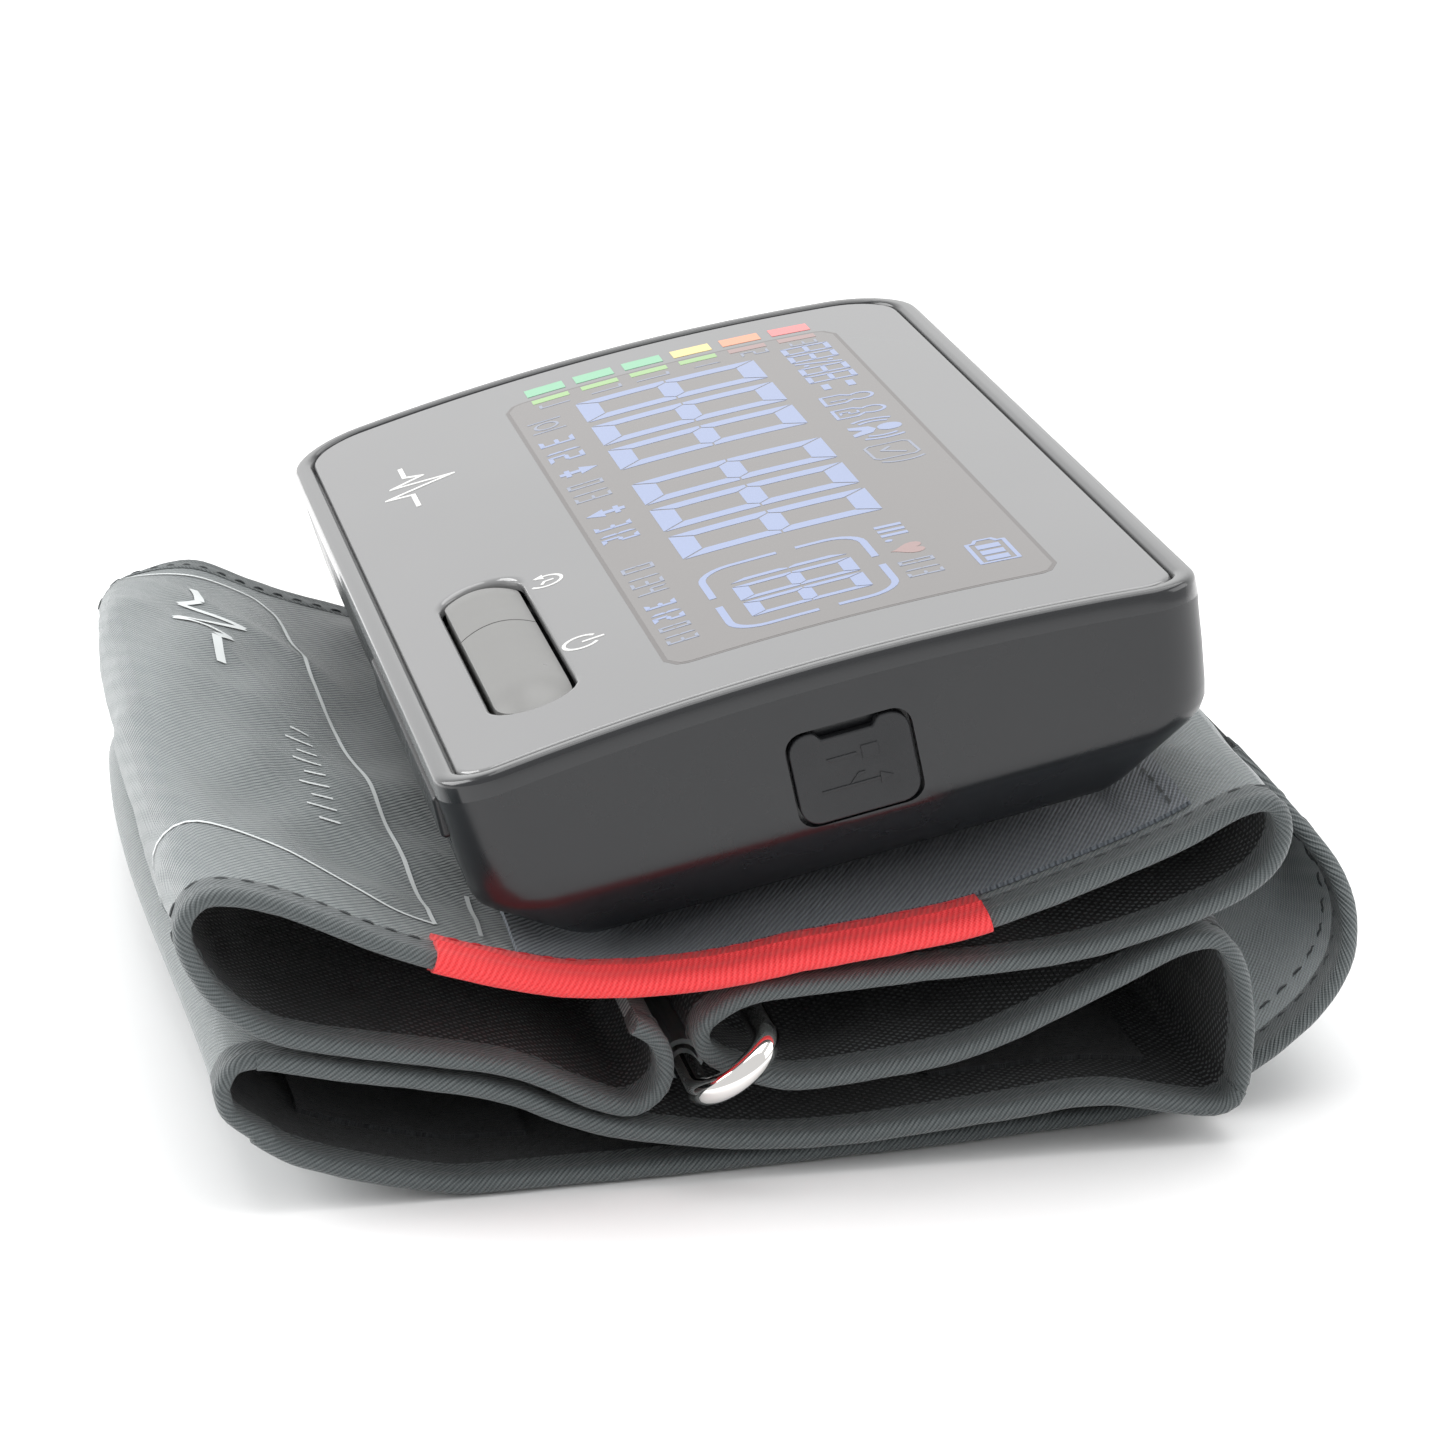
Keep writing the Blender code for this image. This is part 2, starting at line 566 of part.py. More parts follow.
def add_air_system(frame):
    """Manifold, release valve, silicone tubes and the nozzle that feeds the bladder."""
    floor = CASE_BOTTOM + WALL
    x, y = NOZZLE_AT
    nozzle = ring_profile(2.4, 1.4, CASE_BOTTOM - 2.6, floor + 4.0, 14)
    flange = ring_profile(4.2, 1.4, floor + 0.3, floor + 1.5, 14)
    body = add_object("air_nozzle", nozzle, "white_plastic", frame, (x, y, 0))
    combine(body, add_tool("nozzle_flange", flange, frame, (x, y, 0)), "UNION")
    block = box((14.0, 7.0, 5.0), (0, 0, 0))
    manifold = add_object("air_manifold", block, "white_plastic", frame, (x, y, -14.2), smooth=False)
    for i, offset in enumerate((-4.5, 4.5)):
        barb = turned(((0.95, 3.0), (0.95, 6.0)), 10)
        turn = (math.pi / 2, 0, 0)
        combine(manifold, add_tool(f"barb_{i}", barb, frame, (x + offset, y, -14.2), turn), "UNION")
    side_barb = turned(((0.95, 3.0), (0.95, 9.8)), 10, "X")
    combine(manifold, add_tool("side_barb", side_barb, frame, (x, y, -14.2)), "UNION")
    valve = box((15.0, 9.0, 9.0), (0, 0, 0))
    at = (42.0, 3.0, -15.6)
    coil = add_object("release_valve", valve, "steel", frame, at, smooth=False)
    inlet = turned(((0.95, -10.0), (0.95, -6.0)), 10, "X")
    combine(coil, add_tool("valve_inlet", inlet, frame, at), "UNION")
    bore = turned(((2.0, -3.0), (2.0, 9.0)), 14, "X")
    combine(coil, add_tool("valve_bore", bore, frame, at), "DIFFERENCE")
    plunger = turned(((1.7, -0.6), (1.7, 9.4)), 14, "X")
    add_object("valve_plunger", plunger, "brass", frame, at)
    outlet = (-14.6, PUMP_AXIS[0], PUMP_AXIS[1] + 3.0)
    tubes = {
        "pump_tube": (outlet, (-10.6, outlet[1], outlet[2]), (-2.0, -20.0, -12.0), (x - 4.5, y - 12.0, -14.2),
                      (x - 4.5, y - 6.4, -14.2), (x - 4.5, y - 3.8, -14.2)),
        "valve_tube": ((x + 7.4, y, -14.2), (x + 12.0, y, -14.4), (x + 17.0, y + 4.6, -15.6),
                       (x + 21.0, y + 5.0, -15.6), (x + 24.2, y + 5.0, -15.6)),
        "sensor_tube": ((24.0, -14.0, -12.5), (23.8, -14.0, -15.6), (20.2, -14.2, -17.8),
                        (16.0, -12.8, -15.6), (x + 4.5, y - 6.6, -14.2), (x + 4.5, y - 3.8, -14.2)),
    }
    for name, points in tubes.items():
        add_object(name, hose(points, 2.0, 1.35), "silicone", frame)


def add_battery(frame):
    """The lithium cell on its foam pad, on the floor beside the pump."""
    floor = CASE_BOTTOM + WALL
    cell = rounded_outline(34.0, 24.0, 2.5, 2.5, 4)
    add_object("battery_cell", prism(cell, floor + 1.3, floor + 7.3), "battery_wrap", frame, (-14.8, 10.0, 0))
    pad = rounded_outline(30.0, 20.0, 1.5, 1.5, 2)
    add_object("battery_pad", prism(pad, floor + 0.2, floor + 1.1), "foam", frame, (-14.8, 10.0, 0))


def add_mount_plate(frame):
    """The plate that the case is screwed to from below, and its four screws."""
    top = CASE_BOTTOM - 0.2
    bottom = top - 1.2
    outline = rounded_outline(96.0, 46.0, 4.0, 4.0, 3)
    plate = add_object("mount_plate", prism(outline, bottom, top), "case_satin", frame)
    hole = turned(((2.7, bottom - 1), (2.7, top + 1)), 16)
    combine(plate, add_tool("plate_nozzle_hole", hole, frame, (*NOZZLE_AT, 0)), "DIFFERENCE")
    for i, (x, y) in enumerate(MOUNT_SCREWS):
        sink = turned(((2.6, bottom - 0.2), (1.2, top - 0.1), (1.2, top + 1)), 14)
        combine(plate, add_tool(f"plate_sink_{i}", sink, frame, (x, y, 0)), "DIFFERENCE")
        screw = turned(((2.1, bottom + 0.15), (0.85, top - 0.35), (0.85, top + 4.6)), 12)
        add_object(f"mount_screw_{i + 1}", screw, "steel", frame, (x, y, 0))


# ---------------------------------------------------------------- the cuff
def strip_line(points, per_span):
    return smooth_line([Vector((y, z)) for y, z in points], per_span)


def line_normals(line):
    """Left-hand normals along a (y, z) line."""
    normals = []
    for i in range(len(line)):
        ahead = line[min(i + 1, len(line) - 1)] - line[max(i - 1, 0)]
        ahead.normalize()
        normals.append(Vector((-ahead.y, ahead.x)))
    return normals


def line_lengths(line):
    lengths = [0.0]
    for a, b in zip(line, line[1:]):
        lengths.append(lengths[-1] + (b - a).length)
    return lengths


def between(line, span):
    """The first and last index of the stretch of line between two points near it."""
    ends = []
    for point in span:
        target = Vector(point)
        ends.append(min(range(len(line)), key=lambda i: (line[i] - target).length))
    return min(ends), max(ends) + 1


def band(line, low, high, rear, front, first=0, last=None):
    """A closed strip along line[first:last], from offset low to high, between rear and front in X.

    rear and front are numbers or lists with one number for each point of the line.
    """
    last = len(line) if last is None else last
    normals = line_normals(line)
    rears = rear if isinstance(rear, list) else [rear] * len(line)
    fronts = front if isinstance(front, list) else [front] * len(line)
    bm = bmesh.new()
    rings = []
    for i in range(first, last):
        inner = line[i] + normals[i] * low
        outer = line[i] + normals[i] * high
        corners = ((rears[i], inner), (fronts[i], inner), (fronts[i], outer), (rears[i], outer))
        rings.append([bm.verts.new((x, p.x, p.y)) for x, p in corners])
    for a, b in zip(rings, rings[1:]):
        for k in range(4):
            m = (k + 1) % 4
            bm.faces.new((a[k], a[m], b[m], b[k]))
    bm.faces.new(rings[0][::-1])
    bm.faces.new(rings[-1])
    return bm


def free_end_edges(line):
    """Front and rear X along the free end: it runs off towards -X and ends in a rounded tip."""
    lengths = line_lengths(line)
    total = lengths[-1]
    fronts, rears = [], []
    for length in lengths:
        shift = SKEW * length / total
        into_tip = max(0.0, length - (total - TIP_RADIUS))
        pull = TIP_RADIUS - math.sqrt(max(0.0, TIP_RADIUS ** 2 - into_tip ** 2))
        fronts.append(STRIP_FRONT - shift - pull)
        rears.append(STRIP_REAR - shift + pull)
    return rears, fronts


def moved(values, amount):
    if isinstance(values, list):
        return [value + amount for value in values]
    return values + amount


def add_strip(prefix, line, rear, front, outer_finish, inner_finish, names, pivot=None):
    """Two plies of cloth and the bindings along both edges of one stretch of the strip."""
    half = STRIP_HALF_THICKNESS
    parent = None
    shift = Vector((0, 0, 0))
    if pivot:
        parent = add_empty(prefix + "_pivot", (0, *pivot), (0, 0, 0))
        shift = Vector((0, *pivot))
    inset = BINDING_WIDTH + PLY_GAP
    cloth_rear, cloth_front = moved(rear, inset), moved(front, -inset)
    pieces = (
        (names[0], band(line, 0.4, half, cloth_rear, cloth_front), outer_finish),
        (names[1], band(line, -half, -0.4, cloth_rear, cloth_front), inner_finish),
        (prefix + "_front_binding", band(line, -half, half, moved(front, -BINDING_WIDTH), front), "binding_grey"),
        (prefix + "_rear_binding", band(line, -half, half, rear, moved(rear, BINDING_WIDTH)), "binding_grey"),
    )
    made = []
    for name, bm, finish in pieces:
        bmesh.ops.translate(bm, vec=-shift, verts=bm.verts)
        made.append(add_object(name, bm, finish, parent))
    return made


def add_cuff(frame):
    line = strip_line(MAIN_LINE, 2)
    main = add_strip("main", line, STRIP_REAR, STRIP_FRONT, "nylon_grey", "mesh_black",
                     ("main_outer_cloth", "main_lining"))
    hole = turned(((3.0, -30.0), (3.0, CASE_BOTTOM)), 14)
    combine(main[0], add_tool("cloth_hole", hole, frame, (*NOZZLE_AT, 0)), "DIFFERENCE")
    first, last = between(line, BLADDER_SPAN)
    bladder = band(line, -0.2, 0.2, STRIP_REAR + 9, STRIP_FRONT - 9, first, last)
    add_object("air_bladder", bladder, "bladder_film")
    first, last = between(line, MARKER_SPAN)
    marker = band(line, -1.4, 1.4, STRIP_FRONT + 0.2, STRIP_FRONT + 0.8, first, last)
    add_object("artery_marker_tape", marker, "tape_red")
    first, last = between(line, PATCH_SPAN)
    patch = band(line, 1.1, 1.55, STRIP_REAR + 3, STRIP_FRONT - 4.5, first, last)
    sheet = add_object("mount_patch", patch, "patch_blue")
    patch_hole = turned(((3.0, -30.0), (3.0, CASE_BOTTOM)), 14)
    combine(sheet, add_tool("patch_hole", patch_hole, frame, (*NOZZLE_AT, 0)), "DIFFERENCE")

    line = strip_line(FOLD_LINE, 2)
    add_strip("fold", line, STRIP_REAR, STRIP_FRONT, "nylon_grey", "pile_black",
              ("fold_outer_cloth", "fold_lining"), FOLD_PIVOT)
    first, last = between(line, LOOP_PATCH_SPAN)
    loop_patch = band(line, -1.6, -1.1, STRIP_REAR + 10, STRIP_FRONT - 10, first, last)
    add_object("loop_patch", loop_patch, "pile_black")

    line = strip_line(END_LINE, 3)
    rear, front = free_end_edges(line)
    add_strip("end", line, rear, front, "pile_black", "nylon_grey",
              ("end_pile", "end_cloth"), END_PIVOT)
    first, last = between(line, HOOK_PATCH_SPAN)
    hook_patch = band(line, 1.1, 1.6, moved(rear, 10), moved(front, -10), first, last)
    add_object("hook_patch", hook_patch, "pile_black")


def add_d_ring():
    """The long wire ring across the strip, round its lower bar's axis, and its sewn sleeve."""
    low_y, low_z = D_RING_LOWER
    high = Vector((D_RING_UPPER[0] - low_y, D_RING_UPPER[1] - low_z))
    reach = high.length
    along = high.normalized()
    bend = reach / 2
    path = []
    for x, start in ((D_RING_FRONT - bend, -90), (D_RING_REAR + bend, 90)):
        for i in range(9):
            angle = math.radians(start + 180 * i / 8)
            path.append((x + bend * math.cos(angle), bend + bend * math.sin(angle)))
    bm = bmesh.new()
    rings = []
    count = len(path)
    sides = 10
    for i in range(count):
        ahead = Vector(path[(i + 1) % count]) - Vector(path[i - 1])
        ahead.normalize()
        out = Vector((ahead.y, -ahead.x))
        ring = []
        for k in range(sides):
            angle = 2 * math.pi * k / sides
            px = path[i][0] + out.x * D_RING_WIRE * math.cos(angle)
            reach_now = path[i][1] + out.y * D_RING_WIRE * math.cos(angle)
            lift = D_RING_WIRE * math.sin(angle)
            y = along.x * reach_now - along.y * lift
            z = along.y * reach_now + along.x * lift
            ring.append(bm.verts.new((px, y, z)))
        rings.append(ring)
    for i in range(count):
        a, b = rings[i], rings[(i + 1) % count]
        for k in range(sides):
            m = (k + 1) % sides
            bm.faces.new((a[k], b[k], b[m], a[m]))
    add_object("d_ring", bm, "chrome", None, (0, low_y, low_z))
    sleeve = ring_profile(2.1, 1.6, STRIP_REAR + 8, STRIP_FRONT - 8, 14, "X")
    add_object("ring_sleeve", sleeve, "nylon_grey", None, (0, low_y, low_z))


def main():
    clear_scene()
    frame = add_empty("case_frame", CASE_POSITION, (CASE_TILT, 0, 0))
    add_base_housing(frame)
    add_port_cover(frame)
    add_top_cover(frame)
    add_front_panel(frame)
    add_keys(frame)
    add_display(frame)
    add_board(frame)
    add_pump(frame)
    add_air_system(frame)
    add_battery(frame)
    add_mount_plate(frame)
    add_cuff(frame)
    add_d_ring()
    bpy.context.view_layer.update()


main()
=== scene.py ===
"""Looks of the upper arm blood pressure monitor: case, display, keys, folded cuff, D-ring."""
import json
import math

import bmesh
import bpy
from mathutils import Matrix, Vector, noise


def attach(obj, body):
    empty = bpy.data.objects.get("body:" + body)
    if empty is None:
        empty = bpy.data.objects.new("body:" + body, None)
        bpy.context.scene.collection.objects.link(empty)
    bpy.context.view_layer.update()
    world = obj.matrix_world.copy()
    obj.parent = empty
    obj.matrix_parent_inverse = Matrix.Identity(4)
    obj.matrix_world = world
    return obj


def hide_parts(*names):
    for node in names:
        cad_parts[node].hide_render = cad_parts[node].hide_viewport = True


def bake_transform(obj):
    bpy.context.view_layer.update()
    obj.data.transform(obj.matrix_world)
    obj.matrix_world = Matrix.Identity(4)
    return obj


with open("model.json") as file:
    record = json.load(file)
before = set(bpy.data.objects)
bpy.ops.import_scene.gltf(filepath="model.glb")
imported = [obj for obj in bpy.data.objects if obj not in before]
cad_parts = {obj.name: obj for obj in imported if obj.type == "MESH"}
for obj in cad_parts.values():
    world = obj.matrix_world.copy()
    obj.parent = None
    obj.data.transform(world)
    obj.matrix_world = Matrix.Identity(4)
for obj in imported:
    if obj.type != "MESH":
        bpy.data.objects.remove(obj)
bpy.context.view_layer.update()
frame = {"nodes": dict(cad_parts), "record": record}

MM = 0.001
ROOT = "monitor_and_cuff"

# ---- case, in its own tilted frame (mm)
CASE_LENGTH, CASE_WIDTH = 131.2, 75.7
CASE_TILT = math.radians(12.7)
CASE_PLACE = Matrix.Translation(Vector((0.0, 3.2, 49.3))) @ Matrix.Rotation(CASE_TILT, 4, "X")
CASE_BOTTOM, WALL_THICKNESS = -22.9, 1.9
SHELL_TOP, SHELL_TOP_INSIDE = -1.85, -2.1
CORNER_NEAR, CORNER_FAR = 6.0, 9.0
ARCH_CREST, ARCH_RADIUS = 1.3, 302.0
RIM_WIDTH = 2.1
PANEL_GAP, PANEL_DEPTH = 0.28, 1.2
KEY_Y, KEY_HALF = -25.65, 4.2
KEY_X = (8.6, 51.0)
KEY_SPLIT, KEY_GAP = 25.0, 0.12
KEY_CREST, KEY_CROWN_RADIUS = 0.85, 7.0
SWITCH_X, STEM_HOLE_RADIUS = (16.9, 38.0), 1.6
COVER_CENTRE, COVER_SIZE = (0.95, -9.6), (11.9, 9.4)
WALL_RUN, WALL_DROP = 0.80, 10.9
WALL_INSET, WALL_TOP = 0.15, -3.0
WINDOW_CENTRE, WINDOW_HALF, WINDOW_CORNER = (0.45, 6.9), (53.1, 19.85), 2.6
# (height, inset, added corner radius) down the housing; the first height follows the arch
HOUSING_LEVELS = ((None, 0.02, 0.0), (-4.4, 0.22, 0.0), (-8.0, 0.48, 0.3), (-12.0, 0.80, 1.0),
                  (-13.6, 1.00, 1.4), (-14.6, 1.35, 2.0), (-15.5, 2.10, 2.7), (-17.0, 3.80, 3.6),
                  (-20.2, 7.50, 5.4), (-21.5, 9.00, 6.2), (-22.4, 10.40, 6.8), (CASE_BOTTOM, 12.4, 7.0))
# (inset, lift) round the rim's section
RIM_SECTION = ((0.30, -2.05), (0.0, -1.95), (0.0, -0.45), (0.10, -0.12), (0.35, 0.10), (0.75, 0.18),
               (1.45, 0.16), (1.80, 0.05), (2.02, -0.20), (2.10, -0.50), (2.10, -1.50), (6.0, -1.50),
               (6.0, -2.6), (2.4, -2.6), (1.9, -2.05))

# ---- cuff, in the row frame (mm)
STRIP_FRONT, STRIP_REAR = 66.5, -60.5
SKEW, TIP_RADIUS = 15.0, 24.0
MAIN_LINE = ((-15.3, 16.0), (-13.3, 14.6), (-12.3, 12.3), (-12.9, 9.4), (-15.6, 7.7), (-19.4, 8.8),
             (-28.0, 12.8), (-43.0, 15.8), (-50.5, 18.1), (-55.6, 22.6), (-57.9, 28.2), (-56.2, 31.3),
             (-52.6, 31.4), (-47.0, 29.5), (-37.7, 25.2), (-28.2, 21.9), (-18.7, 18.9), (-11.0, 18.6),
             (0.6, 21.4), (10.4, 22.8), (18.7, 24.2), (30.2, 28.0), (38.0, 31.0), (44.0, 34.0),
             (47.4, 34.2), (48.4, 31.0), (46.2, 27.0), (39.5, 23.6), (27.4, 20.4), (10.4, 19.3),
             (0.6, 18.6), (-5.2, 17.5), (-8.4, 15.8), (-8.6, 13.2), (-5.6, 11.0), (0.0, 9.3),
             (8.0, 9.7), (18.4, 11.5), (30.4, 16.6), (38.4, 20.3), (42.6, 20.4), (44.6, 16.8),
             (45.2, 12.2), (45.2, 8.6), (44.95, 5.7))
FOLD_LINE = ((44.75, 5.0), (44.2, 4.0), (42.2, 3.3), (38.3, 3.9), (30.6, 5.3),
             (20.0, 4.4), (5.7, 3.2), (-5.2, 3.5), (-15.0, 5.2), (-21.0, 6.9), (-29.5, 10.5),
             (-43.0, 13.3), (-50.4, 15.0), (-53.5, 14.6), (-54.6, 12.8))
END_LINE = ((-54.6, 11.9), (-53.8, 9.7), (-47.2, 4.9), (-34.2, 1.2), (-26.0, 0.8), (0.0, 0.8),
            (32.0, 0.9), (42.6, 1.8), (49.6, 4.6), (56.4, 9.4), (60.0, 14.2), (60.0, 20.0),
            (55.0, 27.0))
FIRST_FOLD = ((45.2, 10.5), *MAIN_LINE[-2:], *FOLD_LINE[:3], (40.3, 3.4))
SECOND_FOLD = ((-49.3, 14.8), (-51.4, 15.1), *FOLD_LINE[-2:], *END_LINE[:2], (-50.2, 6.9))
# rows of cloth left out before and after the second fold, so that the layers clear each other
FOLD_TRIM, END_TRIM = 4, 5
UNDER_CASE_SPAN = ((-22.0, 20.0), (36.0, 30.2))
MARKER_SPAN = ((-34.5, 23.8), (18.9, 24.2))
PATCH_SPAN = ((-25.3, 21.7), (41.0, 32.4))
BLADDER_SPAN = ((-28.0, 12.8), (36.0, 30.2))
LOOP_PATCH_SPAN = ((38.3, 3.9), (16.0, 4.0))
HOOK_PATCH_SPAN = ((-46.5, 4.9), (-24.0, 0.9))
MAIN_SEED, FOLD_SEED, END_SEED = 3.1, 5.7, 8.3
D_RING_LOWER, D_RING_UPPER = Vector((-9.3, 9.4)), Vector((-2.6, 14.3))
D_RING_X = (-64.3, 70.3)
D_RING_WIRE = 1.35


# ---- material nodes
class Shader:
    """A small helper that wires one procedural Principled material."""

    def __init__(self, name, colour, roughness, **inputs):
        self.material = bpy.data.materials.new(name)
        self.material.use_nodes = True
        self.tree = self.material.node_tree
        self.shader = self.tree.nodes["Principled BSDF"]
        self.set("Base Color", (*colour, 1.0))
        self.set("Roughness", roughness)
        for key, value in inputs.items():
            self.set(key.replace("_", " ").title(), value)

    def feed(self, socket, value):
        if isinstance(value, bpy.types.NodeSocket):
            self.tree.links.new(value, socket)
        else:
            socket.default_value = value

    def set(self, key, value):
        self.feed(self.shader.inputs[key], value)

    def node(self, kind, **settings):
        made = self.tree.nodes.new(kind)
        for key, value in settings.items():
            if key in made.inputs:
                self.feed(made.inputs[key], value)
            else:
                setattr(made, key, value)
        return made

    def coords(self, kind="Object"):
        return self.node("ShaderNodeTexCoord").outputs[kind]

    def math(self, operation, a, b=0.0):
        made = self.node("ShaderNodeMath", operation=operation)
        self.feed(made.inputs[0], a)
        self.feed(made.inputs[1], b)
        return made.outputs[0]

    def noise(self, vector, scale, detail=3.0, rough=0.55):
        return self.node("ShaderNodeTexNoise", Vector=vector, Scale=scale, Detail=detail,
                         Roughness=rough).outputs["Fac"]

    def spread(self, value, low, high, source=(0.0, 1.0)):
        """The value's range from source moved to low..high."""
        made = self.node("ShaderNodeMapRange", Value=value)
        for key, number in zip(("From Min", "From Max", "To Min", "To Max"), (*source, low, high)):
            made.inputs[key].default_value = number
        return made.outputs["Result"]

    def mix(self, factor, a, b):
        made = self.node("ShaderNodeMix", data_type="RGBA")
        for index, value in ((0, factor), (6, a), (7, b)):
            self.feed(made.inputs[index], (*value, 1.0) if isinstance(value, tuple) else value)
        return made.outputs[2]

    def bump(self, *heights):
        """Bump from (height socket, strength, distance in metres) triples, one on top of another."""
        below = {}
        for height, strength, distance in heights:
            made = self.node("ShaderNodeBump", Height=height, Strength=strength, Distance=distance, **below)
            below = {"Normal": made.outputs["Normal"]}
        self.set("Normal", made.outputs["Normal"])


def plastic(name, colour, roughness, grain=0.0, coat=0.0, coat_roughness=0.03, painted_reflection=None):
    """Moulded plastic with faint smudges in its gloss: grain gives it a fine moulded texture, and
    painted_reflection is a painted reflection: the pale room's grey, painted into the base colour where the
    surface is seen at a shallow angle."""
    s = Shader(name, colour, roughness, coat_weight=coat, coat_roughness=coat_roughness)
    place = s.coords()
    smudge = s.noise(place, 60.0, 4.0)
    s.set("Roughness", s.spread(smudge, roughness * 0.8, roughness * 1.25, (0.3, 0.7)))
    # painted reflection: the base colour turns to the pale room's grey where the surface is seen at a shallow
    # angle
    if painted_reflection:
        slant = s.node("ShaderNodeLayerWeight", Blend=0.5).outputs["Facing"]
        s.set("Base Color", s.mix(s.spread(slant, 0.0, 1.0, (0.40, 0.72)), colour, painted_reflection))
    else:
        darker = tuple(c * 0.90 for c in colour)
        s.set("Base Color", s.mix(s.noise(place, 25.0, 2.0), darker, colour))
    if grain:
        s.bump((s.noise(place, 9000.0, 2.0), grain, 0.00004), (smudge, 0.03, 0.0004))
    else:
        s.bump((s.noise(place, 120.0, 2.0), 0.02, 0.0003))
    return s.material


def metal(name, colour, roughness, brushed=0.0):
    s = Shader(name, colour, roughness, metallic=1.0)
    place = s.coords()
    smudge = s.noise(place, 300.0, 3.0)
    s.set("Roughness", s.spread(smudge, roughness * 0.7, roughness * 1.5, (0.3, 0.7)))
    if brushed:
        stretch = s.node("ShaderNodeMapping", Vector=place, Scale=(80.0, 4000.0, 4000.0))
        s.bump((s.noise(stretch.outputs["Vector"], 1.0, 2.0), brushed, 0.00003))
    return s.material


def woven(name, colour, light, pitch, roughness, sheen, twill=1.0, streak=0.5, depth=0.00012):
    """Woven nylon on (length, width) UVs in metres: diagonal ribs crossed by weft threads."""
    s = Shader(name, colour, roughness, sheen_weight=sheen, sheen_roughness=0.45)
    uv = s.coords("UV")
    along, across = s.node("ShaderNodeSeparateXYZ", Vector=uv).outputs[:2]
    turn = 2 * math.pi / pitch
    diagonal = s.math("ADD", s.math("MULTIPLY", along, turn), s.math("MULTIPLY", across, turn * twill))
    drift = s.math("MULTIPLY", s.noise(uv, 350.0, 2.0), 2.2)
    rib = s.math("SINE", s.math("ADD", diagonal, drift))
    weft = s.math("SINE", s.math("MULTIPLY", across, turn * 1.7))
    warp = s.math("SINE", s.math("MULTIPLY", along, turn * 1.7))
    thread = s.math("MULTIPLY", weft, warp)
    height = s.math("ADD", s.math("MULTIPLY", rib, 0.7), s.math("MULTIPLY", thread, 0.45))
    cloudy = s.noise(uv, 45.0, 4.0)
    lit = s.spread(height, 0.0, 1.0, (-1.0, 1.0))
    darker = tuple(c * (1.0 - 0.5 * streak) for c in colour)
    shade = s.spread(cloudy, 0.35 * streak, 0.0, (0.35, 0.65))
    s.set("Base Color", s.mix(shade, s.mix(lit, colour, light), darker))
    s.set("Roughness", s.spread(lit, min(1.0, roughness * 1.2), roughness * 0.8))
    s.bump((cloudy, 0.25, 0.0012), (height, 0.8, depth))
    return s.material


def spacer_mesh(name, colour, light, pitch):
    """Black knitted mesh: a checkerboard of small loops, each with a painted highlight."""
    s = Shader(name, colour, 0.6, sheen_weight=0.1)
    uv = s.coords("UV")
    along, across = s.node("ShaderNodeSeparateXYZ", Vector=uv).outputs[:2]
    turn = 2 * math.pi / pitch
    rows = s.math("SINE", s.math("MULTIPLY", along, turn))
    lines = s.math("SINE", s.math("MULTIPLY", across, turn * 0.9))
    dots = s.spread(s.math("MULTIPLY", rows, lines), 0.0, 1.0, (0.15, 0.65))
    cloud = s.noise(uv, 60.0, 3.0)
    # painted highlights: the dots lighten the black base colour toward the light grey
    lit = s.math("MULTIPLY", dots, s.spread(cloud, 0.35, 1.0, (0.35, 0.65)))
    s.set("Base Color", s.mix(lit, colour, light))
    s.bump((cloud, 0.3, 0.001), (dots, 0.7, 0.0003))
    return s.material


def pile(name, colour, light):
    """Brushed loop pile: short tangled fibres."""
    s = Shader(name, colour, 0.95, sheen_weight=0.25, sheen_roughness=0.6)
    uv = s.coords("UV")
    fibre = s.noise(uv, 1400.0, 5.0, 0.75)
    s.set("Base Color", s.mix(s.spread(fibre, 0.0, 1.0, (0.45, 0.7)), colour, light))
    s.bump((s.noise(uv, 220.0, 4.0, 0.65), 0.8, 0.0012), (fibre, 1.0, 0.0006))
    return s.material


